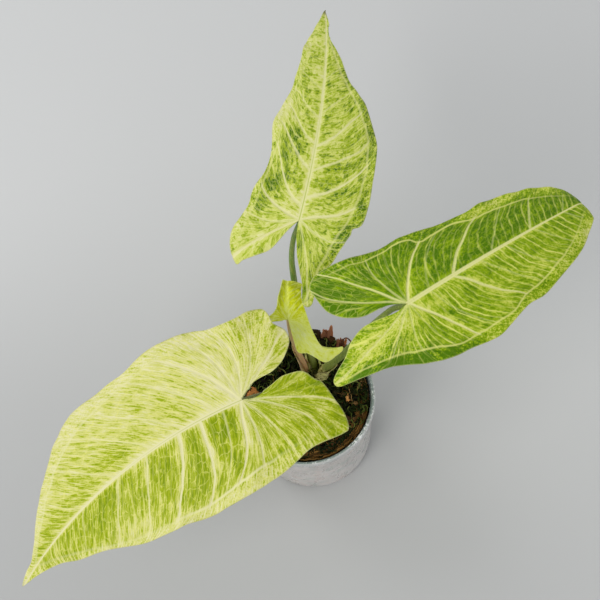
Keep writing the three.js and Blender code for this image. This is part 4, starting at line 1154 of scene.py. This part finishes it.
def sheathMaterial(name):
    sheath = sheaths[name]
    material, nodes = newMaterial("sheathSkin." + name)
    body = nodes.onPiece()
    streaks = nodes.noise(nodes.stretch(body, stalkSkin["sheathStreaks"]), 1.0, 3.0, 0.6, 0.4)
    spots = nodes.noise(nodes.stretch(body, (900, 900, 600)), 1.0, 3.0, 0.6)
    colour = nodes.mix(nodes.smooth(streaks, 0.42, 0.58), *sheath["shades"])
    more = 0.1 * sheath["speckle"]
    pale = nodes.times(nodes.smooth(spots, 0.62 - more, 0.66 - more), 0.85)
    colour = nodes.mix(pale, colour, stalkSkin["sheathSpots"])
    edge = nodes.times(nodes.smooth(nodes.attribute("brim"), 0.8, 1.0), 0.5)
    colour = nodes.mix(edge, colour, stalkSkin["sheathEdge"])
    nodes.finish(colour, 0.5, (streaks, 0.4, 0.0003), {
        "Specular IOR Level": stalkSkin["gloss"], **softInside(0.2, stalkSkin["softness"], 0.0015),
    })
    return material


def stemMaterial():
    material, nodes = newMaterial("stemSkin")
    rough = nodes.noise(nodes.stretch(nodes.onPiece(), (500, 500, 1500)), 1.0, 4.0, 0.6)
    colour = nodes.mix(nodes.smooth(rough, 0.35, 0.65), stem["dark"], stem["light"])
    nodes.finish(colour, 0.6, (rough, 0.6, 0.0005))
    return material


def sheathPoints(name):
    sheath, stalk = sheaths[name], stalks[name]
    share = np.linspace(0, 1, sheathMesh["rows"])
    shares = sheath["from"] + (sheath["to"] - sheath["from"]) * share
    centre = pointsAt(stalkCourse(name), shares)
    along = np.gradient(centre, axis=0)
    along /= np.linalg.norm(along, axis=1)[:, None]
    upright = np.array([0.0, 0.0, 1.0]) - along * along[:, 2:3]
    back = -upright / np.linalg.norm(upright, axis=1)[:, None]
    wide = np.cross(along, back)
    angle = np.linspace(-1, 1, sheathMesh["columns"])
    cover = np.radians(sheath["cover"]) * (1 - sheathMesh["opening"] * share**1.6)
    radius = sheath["radius"] + (stalk["radius"][0] + 0.35 - sheath["radius"]) * share**0.8
    turn = cover[:, None] * angle[None, :]
    flare = 1 + sheathMesh["flare"] * np.abs(angle[None, :]) ** 3 * np.sin(9 * share)[:, None]
    reach = radius[:, None] * flare
    wall = sheathMesh["wall"] - sheathMesh["thinning"] * np.abs(angle[None, :]) ** 2
    outward = back[:, None] * np.cos(turn)[..., None] + wide[:, None] * np.sin(turn)[..., None]
    outer, inner = (centre[:, None] + outward * far[..., None] for far in (reach, reach - wall))
    brim = np.maximum(np.abs(angle)[None, :], share[:, None] ** 3)
    return outer, inner, brim


def makeCrown():
    for name in sheaths:
        outer, inner, brim = sheathPoints(name)
        points = np.vstack([outer.reshape(-1, 3), inner.reshape(-1, 3)])
        edges = {"brim": np.tile(brim.ravel(), 2)}
        piece = meshObject("sheath." + name, points, shellFaces(*brim.shape), sheathMaterial(name), edges)
        settle(piece, "crown_sheath", "crown")
    profile = [(0, stem["foot"])]
    for z in np.linspace(stem["foot"], stem["top"], 60):
        share = (z - stem["foot"]) / (stem["top"] - stem["foot"])
        ring = stem["ringHeight"] * math.cos(2 * math.pi * stem["rings"] * share) ** 8
        dome = math.sqrt(max(0.0, 1 - max(0.0, (share - 0.72) / 0.28) ** 2))
        profile.append((max(0.02, (stem["radius"] * (0.9 + 0.1 * dome) * dome + ring * dome)), z))
    profile.append((0, stem["top"] + 0.3))
    points, faces = lathe(profile, 64)
    points[:, :2] += np.array(stem["centre"])
    settle(meshObject("stem", points, faces, stemMaterial()), "crown_sheath", "crown")


# Turns a profile of (radius, height) from the axis to the axis into a closed body.
def lathe(profile, segments):
    angles = np.linspace(0, 2 * np.pi, segments, endpoint=False)
    inside = profile[1:-1]
    points = [(0, 0, profile[0][1]), (0, 0, profile[-1][1])]
    for radius, z in inside:
        points += [(radius * math.cos(a), radius * math.sin(a), z) for a in angles]
    return np.array(points, float), closedFaces(len(inside), segments)


for leaf in blades:
    makeStalk(leaf)
makeCrown()
print("stalks, sheaths and stem are in")

# Pot

pot = {
    "height": 56.0, "rimRadius": 30.2, "rimDepth": 3.6, "shoulderRadius": 28.9, "footRadius": 25.8,
    "wall": 0.9, "floor": 1.2, "corner": 2.2, "segments": 176,
    "drainHoles": 6, "drainRadius": 2.0, "drainCircle": 17.0,
    "milk": rgb(212, 206, 202), "smoke": rgb(184, 178, 173), "band": rgb(186, 188, 186),
    # inside is the painted shade of the inner wall above the mix
    # the last colour on the next line is the white of painted glints
    "inside": rgb(124, 142, 138), "paintedGlint": rgb(238, 239, 238),
    # rosy and greenish clouds in the plastic, and how many to a metre there are
    "tints": ((230.0, rgb(206, 188, 180)), (170.0, rgb(164, 174, 166))),
    "clouds": 60.0, "frost": 1100.0, "coat": (0.3, 0.12), "softness": (0.25, (1.0, 1.0, 1.0), 0.003),
}


def wallRadius(z):
    widening = pot["shoulderRadius"] - pot["footRadius"]
    return pot["footRadius"] + widening * z / (pot["height"] - pot["rimDepth"])


def potProfile():
    def arc(radius, z, bend, start, end):
        angles = np.radians(np.linspace(start, end, 9))
        return [(radius + bend * math.cos(a), z + bend * math.sin(a)) for a in angles]

    foot, corner, height = pot["footRadius"], pot["corner"], pot["height"]
    shoulder, shoulderRadius, floor = height - pot["rimDepth"], pot["shoulderRadius"], pot["floor"]
    profile = [(0, 0.6), (12, 0.6), (foot - corner - 2.5, 0.5), (foot - corner - 1.4, 0.0)]
    profile += arc(foot - corner, corner, corner, -90, 0)
    profile += [(wallRadius(z), z) for z in np.linspace(corner + 1, shoulder - 0.6, 26)]
    rim, bead = pot["rimRadius"], 0.75
    profile += [(shoulderRadius + 0.05, shoulder), (shoulderRadius + 0.5, shoulder + 0.25)]
    profile += [(rim - 0.25, shoulder + 0.35)]
    profile += [(rim - 0.02, shoulder + 0.7), (rim - 0.06, shoulder + 1.4), (rim - 0.05, height - 1.2)]
    profile += arc(rim - bead, height - bead, bead, 10, 150)
    profile += [(shoulderRadius - 0.35, height - 0.75), (shoulderRadius - 0.6, height - 1.6)]
    profile += [(wallRadius(z) - pot["wall"], z) for z in np.linspace(shoulder, corner + floor, 26)]
    profile += [(foot - corner, floor + 0.2), (foot - corner - 2, floor), (12, floor), (0, floor)]
    return profile


def potMaterial():
    material, nodes = newMaterial("milkyPlastic")
    body = nodes.onPiece()
    x, y, z = nodes.split(body)
    around = nodes.times(nodes.math("ARCTAN2", y, x), 28.0)
    wrapped = nodes.join(around, nodes.times(z, 1000.0))
    cloud = nodes.noise(body, pot["clouds"], 3.0, 0.55)
    crinkle = nodes.noise(nodes.stretch(wrapped, (0.2, 0.08, 1)), 1.0, 3.0, 0.55, 0.3)
    frost = nodes.noise(body, pot["frost"], 3.0, 0.7)
    tone = nodes.plus(nodes.times(cloud, 0.5), nodes.times(crinkle, 0.5))
    colour = nodes.mix(nodes.smooth(tone, 0.34, 0.64), pot["smoke"], pot["milk"])
    for scale, tint in pot["tints"]:
        patches = nodes.smooth(nodes.noise(body, scale, 3.0, 0.6), 0.5, 0.66, 0.0, 0.6)
        colour = nodes.mix(patches, colour, tint)
    colour = nodes.mix(nodes.times(nodes.smooth(z, 0.0515, 0.0528), 0.75), colour, pot["band"])
    # painted shade: the inner wall is painted darker, teal-grey, up to the inner half of the rim
    outward = nodes.math("SQRT", nodes.plus(nodes.times(x, x), nodes.times(y, y)))
    inner = nodes.minus(outward, nodes.smooth(z, 0.0525, 0.0535, 0.0285, 0.0297))
    inner = nodes.times(nodes.smooth(inner, -0.0003, 0.0001, 0.85, 0.0), nodes.smooth(z, 0.046, 0.050))
    colour = nodes.mix(inner, colour, pot["inside"])
    # painted highlights: white glints painted where droplets and scratches would catch the light, most of
    # them near the rim and more on the right side
    paintedGlint = nodes.plus(nodes.times(frost, 0.6), nodes.times(cloud, 0.4))
    paintedGlint = nodes.smooth(nodes.plus(paintedGlint, nodes.smooth(x, 0.005, 0.027, -0.015, 0.04)), 0.53, 0.58)
    paintedGlint = nodes.times(paintedGlint, nodes.smooth(z, 0.044, 0.052, 0.1, 1.0))
    colour = nodes.mix(paintedGlint, colour, pot["paintedGlint"])
    relief = nodes.plus(crinkle, nodes.times(frost, 0.05))
    coat = dict(zip(("Coat Weight", "Coat Roughness"), pot["coat"]))
    rough = nodes.smooth(crinkle, 0.35, 0.65, 0.24, 0.42)
    nodes.finish(colour, rough, (relief, 0.2, 0.0003), {**coat, **softInside(*pot["softness"])})
    return material


def makePot():
    points, faces = lathe(potProfile(), pot["segments"])
    turn = np.arctan2(points[:, 1], points[:, 0])
    radius = np.hypot(points[:, 0], points[:, 1])
    wavy = 0.1 * np.sin(5 * turn + 0.09 * points[:, 2]) * np.sin(0.11 * points[:, 2] + 2 * turn)
    wavy *= smoothStep(points[:, 2], 4, 12) * (1 - smoothStep(points[:, 2], 44, 51))
    points[:, :2] *= (1 + wavy / np.maximum(radius, 1))[:, None]
    piece = meshObject("nurseryPot", points, faces, potMaterial())
    ring, cut = [], []
    for i in range(pot["drainHoles"]):
        a = 2 * math.pi * i / pot["drainHoles"]
        centre = np.array([math.cos(a), math.sin(a), 0]) * pot["drainCircle"]
        plug, sides = lathe([(0, -1), (pot["drainRadius"], -1), (pot["drainRadius"], 4), (0, 4)], 28)
        cut += [tuple(c + len(ring) for c in face) for face in sides]
        ring += (plug + centre).tolist()
    cutter = meshObject("drainCutter", ring, cut)
    drill = piece.modifiers.new("drain", "BOOLEAN")
    drill.object, drill.operation, drill.solver = cutter, "DIFFERENCE", "EXACT"
    mesh = finishedMesh(piece)
    piece.modifiers.remove(drill)
    piece.data = mesh
    bpy.data.objects.remove(cutter)
    settle(piece, "pot_plastic", "pot")


makePot()
print("pot is in")

# Potting mix, with its moss, fibres and chips

mix = {
    "level": 50.5, "backRise": 8.0, "heap": (-8, 24), "edgeGap": 0.4, "crumble": 0.63, "roughness": 1.1,
    "rings": 84, "sectors": 210,
    "crumbs": 1500, "crumbSize": 0.001, "crumbGrid": (24, 72), "seed": 7,
    "black": rgb(14, 14, 8), "brown": rgb(50, 38, 22), "moss": rgb(28, 40, 10),
    "clods": 420.0, "patches": 120.0,  # how many to a metre
    "gloss": 0.15, "hollows": (0.5, 0.44, 0.38, 1),
    # colours from the commonest to the rarest
    "crumbTones": [(0.0, rgb(14, 12, 8)), (0.45, rgb(28, 22, 13)), (0.6, rgb(26, 34, 10)),
                   (0.8, rgb(44, 42, 20)), (0.94, rgb(74, 58, 32)), (0.99, rgb(150, 112, 70))],
    "mossTones": [(0.0, rgb(18, 28, 4)), (0.45, rgb(38, 52, 10)), (0.8, rgb(66, 82, 24)),
                  (0.97, rgb(124, 132, 62))],
    "coirTones": [(0.0, rgb(52, 36, 14)), (0.4, rgb(104, 72, 30)), (0.8, rgb(152, 110, 52)),
                  (1.0, rgb(176, 140, 96))],
    "barkTones": [(0.0, rgb(46, 38, 18)), (0.3, rgb(118, 74, 48)), (0.65, rgb(166, 110, 84)),
                  (0.88, rgb(206, 130, 70)), (1.0, rgb(255, 184, 108))],
}


def mixHeight(x, y):
    heap = mix["backRise"] * smoothStep(y, *mix["heap"])
    lumps = np.sin(0.61 * x + 1.3) * np.sin(0.53 * y + 0.4) + 0.6 * np.sin(1.13 * x - 0.9 * y)
    return mix["level"] + heap + mix["crumble"] * lumps


def mixRadius():
    return wallRadius(mix["level"]) - pot["wall"] - mix["edgeGap"]


def makeMix():
    edge = mixRadius()
    n, m = mix["rings"], mix["sectors"]
    angles = np.linspace(0, 2 * np.pi, m, endpoint=False)
    rows = []
    for i in range(1, n + 1):
        radius = edge * i / n
        x, y = radius * np.cos(angles), radius * np.sin(angles)
        z = mixHeight(x, y)
        rough = [noise.fractal(Vector((a * 0.34, b * 0.34, 0.0)), 0.7, 2.1, 5) for a, b in zip(x, y)]
        near = np.hypot(x - stem["centre"][0], y - stem["centre"][1])
        z = z + mix["roughness"] * np.array(rough) + 0.9 * np.exp(-((near / 7) ** 2))
        rows.append(np.stack([x, y, z], -1))
    for z in np.linspace(49.5, 4, 24):
        radius = wallRadius(z) - pot["wall"] - 0.35
        x, y = radius * np.cos(angles), radius * np.sin(angles)
        rough = np.array([0.25 * noise.noise(Vector((a * 0.5, b * 0.5, z * 0.5))) for a, b in zip(x, y)])
        rows.append(np.stack([x * (1 - 0.01 * abs(rough)), y * (1 - 0.01 * abs(rough)), np.full(m, z)], -1))
    radius = wallRadius(1) - pot["wall"] - 2.5
    bottom = pot["floor"] + 0.4
    rows.append(np.stack([radius * np.cos(angles), radius * np.sin(angles), np.full(m, bottom)], -1))
    points = np.vstack([[(0, 0, rows[0][:, 2].mean())], [(0, 0, bottom)]] + rows)
    piece = meshObject("pottingMix", points, turnedOver(closedFaces(len(rows), m)), mixMaterial())
    settle(piece, "potting_mix", "potting_mix")


def mixMaterial():
    material, nodes = newMaterial("dampMix")
    body = nodes.onPiece()
    clods = nodes.noise(body, mix["clods"], 5.0, 0.7)
    patches = nodes.smooth(nodes.noise(body, mix["patches"], 2.0), 0.45, 0.6)
    colour = nodes.mix(nodes.smooth(clods, 0.5, 0.72), mix["black"], mix["brown"])
    colour = nodes.mix(nodes.times(patches, 0.6), colour, mix["moss"])
    rough = nodes.smooth(clods, 0.3, 0.7, 0.6, 0.95)
    nodes.finish(colour, rough, (clods, 0.9, 0.001), {"Specular IOR Level": mix["gloss"]})
    return material


# Colours picked by a piece's own tint from 0 to 1.
def tintedMaterial(name, stops, scale, rough, shade=1.0):
    material, nodes = newMaterial(name)
    grain = nodes.noise(nodes.onPiece(), scale, 4.0, 0.65)
    tint = nodes.math("ADD", nodes.attribute("tint"), nodes.scaled(grain, 0.3, -0.15), clamp=True)
    dark = nodes.smooth(grain, 0.46, 0.76, 0.0, shade)
    colour = nodes.mix(dark, nodes.ramp(tint, stops), mix["hollows"], "MULTIPLY")
    nodes.finish(colour, rough, (grain, 0.7, 0.0004), {"Specular IOR Level": mix["gloss"]})
    return material


# Small lumps of several shapes, scattered over the faces at random.
def crumbTree():
    tree = GrowthTree("crumbs", {"Density": 60000.0, "Size": 0.001, "Seed": 3})
    shapes = tree.add("GeometryNodeJoinGeometry")
    for k in range(5):
        ball = tree.add("GeometryNodeMeshIcoSphere", {"Radius": 1.0, "Subdivisions": 2}).outputs[0]
        place = tree.vectors("ADD", tree.add("GeometryNodeInputPosition").outputs[0], (7.3 * k, 2.1 * k, 0))
        lump = tree.add("ShaderNodeTexNoise", {"Vector": place, "Scale": 1.1, "Detail": 2.0}).outputs["Color"]
        shift = tree.vectors("MULTIPLY", tree.vectors("SUBTRACT", lump, (0.5, 0.5, 0.5)), (1.9, 1.9, 1.9))
        rough = tree.add("GeometryNodeSetPosition", {"Geometry": ball, "Offset": shift}).outputs[0]
        squash = (1.0, 0.55 + 0.1 * k, 0.45 + 0.08 * ((k * 3) % 5))
        flat = tree.add("GeometryNodeTransform", {"Geometry": rough, "Scale": squash}).outputs[0]
        one = tree.add("GeometryNodeGeometryToInstance", {"Geometry": flat}).outputs[0]
        tree.tree.links.new(one, shapes.inputs[0])
    ground = {"Mesh": tree.given["Geometry"], "Density": tree.given["Density"], "Seed": tree.given["Seed"]}
    scatter = tree.add("GeometryNodeDistributePointsOnFaces", ground)
    turn = tree.chance("FLOAT_VECTOR", 11)
    turn.inputs[1].default_value = (6.28, 6.28, 6.28)
    size = tree.scaled(tree.math("POWER", tree.chance("FLOAT", 5).outputs[1], 3.0), 1.5, 0.45)
    which = tree.chance("INT", 2)
    which.inputs[4].default_value, which.inputs[5].default_value = 0, 4
    lumps = tree.add("GeometryNodeInstanceOnPoints", {
        "Points": scatter.outputs["Points"], "Instance": shapes.outputs[0],
        "Pick Instance": True, "Instance Index": which.outputs[2],
        "Rotation": tree.add("FunctionNodeEulerToRotation", {"Euler": turn.outputs[0]}).outputs[0],
        "Scale": tree.times(size, tree.given["Size"]),
    }).outputs[0]
    return tree.close(tree.store(lumps, "tint", tree.chance("FLOAT", 8).outputs[1], "INSTANCE"))


def makeCrumbs():
    edge = mixRadius() - 0.6
    n, m = mix["crumbGrid"]
    angles = np.linspace(0, 2 * np.pi, m, endpoint=False)
    points = [(0, 0, float(mixHeight(np.array(0.0), np.array(0.0))) + 0.4)]
    for i in range(1, n + 1):
        x, y = edge * i / n * np.cos(angles), edge * i / n * np.sin(angles)
        points += np.stack([x, y, mixHeight(x, y) + 0.35], -1).tolist()
    faces = [(0, 1 + k, 1 + (k + 1) % m) for k in range(m)] + turnedOver(ringFaces(1, n, m))
    scaffold = meshObject("mixTop", points, faces)
    material = tintedMaterial("mixCrumbs", mix["crumbTones"], 900.0, 0.85)
    area = math.pi * (edge * mm) ** 2
    sizes = {"Density": mix["crumbs"] / area, "Size": mix["crumbSize"], "Seed": mix["seed"]}
    settle(grow("mixCrumbs", scaffold, crumbTree(), material, **sizes), "potting_mix", "potting_mix")


# Thin strands that wander over the mix: moss where they are short and curly, coir where they are long.
def wanderingLines(count, reach, curl, arch, radius, place, seed, steps):
    random = np.random.default_rng(seed)
    lines, radii, tints = [], [], []
    edge = mixRadius() - 0.5
    while len(lines) < count:
        x, y = place(random)
        heading = random.uniform(0, 2 * np.pi)
        length = reach * random.uniform(0.5, 1.4)
        bend = random.normal(0, curl)
        points = []
        for _ in range(steps):
            points.append((x, y))
            heading += bend / steps + random.normal(0, curl * 0.35)
            x += math.cos(heading) * length / steps
            y += math.sin(heading) * length / steps
        flat = np.array(points)
        distance = np.hypot(flat[:, 0], flat[:, 1])
        flat *= np.minimum(1, edge / np.maximum(distance, 1e-6))[:, None]
        share = np.linspace(0, 1, steps)
        lift = arch * random.uniform(0.1, 1.0) * np.sin(np.pi * share) + random.uniform(0.3, 1.0)
        z = mixHeight(flat[:, 0], flat[:, 1]) + lift
        lines.append(np.column_stack([flat, z]))
        radii.append(radius * random.uniform(0.6, 1.3) * (1 - 0.75 * share**2))
        tints.append(np.full(steps, random.uniform(0, 1)))
    return lines, radii, tints


def anywhere(random):
    radius, angle = 27 * math.sqrt(random.uniform()), random.uniform(0, 2 * math.pi)
    return radius * math.cos(angle), radius * math.sin(angle)


def byTheFrontWall(random):
    radius, angle = random.uniform(22, 27), math.radians(random.uniform(-175, 10))
    return radius * math.cos(angle), radius * math.sin(angle)


# Coarse fibres pressed round the inside of the wall, at the front.
def wallFibres(count, seed, steps):
    random = np.random.default_rng(seed)
    lines, radii, tints = [], [], []
    for _ in range(count):
        start, sweep = random.uniform(-135, -45), random.uniform(14, 48)
        angle = np.radians(start + sweep * np.linspace(0, 1, steps))
        radius = random.uniform(23.2, mixRadius() - 0.5) + np.cumsum(random.normal(0, 0.16, steps))
        radius = np.minimum(radius, mixRadius() - 0.4)
        x, y = radius * np.cos(angle), radius * np.sin(angle)
        z = mixHeight(x, y) + random.uniform(0.4, 2.0) + 0.3 * np.sin(4 * angle + start)
        lines.append(np.column_stack([x, y, z]))
        radii.append(random.uniform(0.2, 0.5) * (1 - 0.6 * np.abs(np.linspace(-1, 1, steps)) ** 3))
        tints.append(np.full(steps, random.uniform(0.15, 0.85)))
    return lines, radii, tints


# Splinters of bark that stand out of the mix at the back, over the rim, and a bent root tip beside them.
splinters = {
    # foot, lean of the tips, number, height, thickness and tones of the splinters in each bunch
    "bunches": [((14.6, 22.4), (1.4, 2.4), 9, 10.0, 1.0, (0.5, 0.74)),
                ((19.4, 18.0), (1.6, 1.2), 16, 7.5, 0.55, (0.3, 0.9))],
    "root": [(21.0, 16.0, 57), (21.4, 17.2, 61), (21.6, 18.6, 64.2), (23.2, 18.6, 65.0), (24.6, 16.6, 64.0),
             (24.6, 14.2, 61)],
    "rootRadius": 0.32, "rootTone": 0.2, "foot": 56.0, "seed": 36, "sides": 6,
    "taper": (1, 1.05, 0.98, 1.0, 0.94, 0.98, 0.9, 0.8, 0.55),  # thickness from the foot to the tip
}


def makeSplinters(material):
    random = np.random.default_rng(splinters["seed"])
    taper = np.array(splinters["taper"])
    lines, radii, tints = [], [], []
    for (x, y), lean, count, height, thick, tone in splinters["bunches"]:
        for _ in range(count):
            foot = np.array([x, y, splinters["foot"]]) + random.uniform(-1, 1, 3) * (2.0, 0.9, 0.6)
            rise = random.uniform(0.6, 1.0) * height
            top = foot + np.array([lean[0] + random.normal(0, 0.5), lean[1] + random.normal(0, 0.4), rise])
            share = np.linspace(0, 1, len(taper))[:, None]
            bow = np.sin(np.pi * share) * random.normal(0, 0.3, 3)
            lines.append(foot + (top - foot) * share + bow)
            radii.append(random.uniform(0.7, 1.15) * thick * taper)
            tints.append(np.full(len(taper), random.uniform(*tone)))
    loop = splineThrough(splinters["root"], 8)
    lines.append(loop)
    radii.append(np.full(len(loop), splinters["rootRadius"]))
    tints.append(np.full(len(loop), splinters["rootTone"]))
    piece = growStrands("barkSplinters", lines, radii, tints, splinters["sides"], material)
    settle(piece, "bark", "potting_mix")


# Lengths are in millimetres, and curl is in radians.
strandKinds = {
    "moss": {"count": 900, "reach": 6.5, "curl": 1.6, "arch": 2.6, "radius": 0.3, "place": anywhere,
             "seed": 21, "steps": 12},
    "frontCoir": {"count": 150, "reach": 16, "curl": 0.9, "arch": 1.2, "radius": 0.22,
                  "place": byTheFrontWall, "seed": 33, "steps": 20},
    "coir": {"count": 75, "reach": 12, "curl": 1.2, "arch": 1.8, "radius": 0.2, "place": anywhere,
             "seed": 34, "steps": 16},
    "wallCoir": {"count": 70, "seed": 35, "steps": 20},
    "sides": 5,
    "dim": (-17, 0.3),  # moss in front of this y is dimmed to this share of its tint
}


def makeMoss():
    kinds = strandKinds
    lines, radii, tints = wanderingLines(**kinds["moss"])
    front, share = kinds["dim"]
    tints = [tint * (share if line[:, 1].mean() < front else 1.0) for line, tint in zip(lines, tints)]
    moss = tintedMaterial("mossGreen", mix["mossTones"], 1200.0, 0.7)
    settle(growStrands("moss", lines, radii, tints, kinds["sides"], moss), "potting_mix", "potting_mix")
    bunches = (wanderingLines(**kinds["frontCoir"]), wanderingLines(**kinds["coir"]),
               wallFibres(**kinds["wallCoir"]))
    fibres = [sum(parts, []) for parts in zip(*bunches)]
    coir = tintedMaterial("coirBrown", mix["coirTones"], 1500.0, 0.8)
    settle(growStrands("coir", *fibres, kinds["sides"], coir), "potting_mix", "potting_mix")


barkChips = {
    "bark_chip_1": {"at": (-21.6, 7.0), "size": (6.4, 5.4, 3.0), "turn": 60, "tilt": 18, "tone": 0.9},
    "bark_chip_2": {"at": (10.0, 25.6), "size": (6.4, 4.2, 2.8), "turn": -12, "tilt": 24, "tone": 0.02},
    "bark_chip_3": {"at": (15.8, 22.0), "size": (5.2, 4.0, 2.6), "turn": -50, "tilt": 20, "tone": 0.1},
    "bark_chip_4": {"at": (17.6, -2.8), "size": (4.6, 2.1, 2.2), "turn": 82, "tilt": 12, "tone": 1.1},
    "bark_chip_5": {"at": (15.2, -13.1), "size": (6.0, 4.2, 2.4), "turn": -35, "tilt": 8, "tone": 0.1},
    "bark_chip_6": {"at": (8.2, -22.5), "size": (8.0, 4.2, 2.4), "turn": 14, "tilt": 10, "tone": 0.2},
    "bark_chip_7": {"at": (19.4, -16.6), "size": (5.8, 3.2, 2.2), "turn": 50, "tilt": 10, "tone": 0.05},
}


def makeChip(name, chip, material):
    body = bmesh.new()
    bmesh.ops.create_icosphere(body, subdivisions=4, radius=1.0)
    seed = Vector((chip["at"][0], chip["at"][1], 0))
    for vertex in body.verts:
        p = vertex.co.copy()
        boxy = Vector([math.copysign(abs(c) ** 0.62, c) for c in p])
        boxy *= 1 / max(1.0, boxy.length * 0.86)
        chunk = noise.cell(seed + p * 1.4) * 0.16
        strata = 0.07 * math.sin(9 * p.z + 2 * noise.noise(seed + p * 2))
        strata += 0.16 * noise.noise(seed + Vector((p.x * 1.2, p.y * 3.5, p.z * 3)))
        boxy *= 1 + strata + chunk - 0.1
        vertex.co = Vector([along * size / 2 for along, size in zip(boxy, chip["size"])]) * mm
    x, y = chip["at"]
    z = float(mixHeight(np.array(x), np.array(y))) + 0.28 * chip["size"][2]
    turn, tilt = (math.radians(chip[key]) for key in ("turn", "tilt"))
    turn = Matrix.Rotation(turn, 4, "Z") @ Matrix.Rotation(tilt, 4, "X")
    bmesh.ops.transform(body, matrix=Matrix.Translation(Vector((x, y, z)) * mm) @ turn, verts=body.verts)
    bmesh.ops.recalc_face_normals(body, faces=body.faces)
    for face in body.faces:
        face.smooth = True
    mesh = bpy.data.meshes.new(name)
    body.to_mesh(mesh)
    body.free()
    keepValues(mesh, "tint", np.full(len(mesh.vertices), chip["tone"]))
    mesh.materials.append(material)
    settle(putInScene("barkChip." + name[-1], mesh), "bark", name)


makeMix()
makeCrumbs()
makeMoss()
barkFinish = tintedMaterial("barkBrown", mix["barkTones"], 700.0, 0.8, 0.45)
for chipName, chip in barkChips.items():
    makeChip(chipName, chip, barkFinish)
makeSplinters(barkFinish)
print("mix, moss and chips are in")
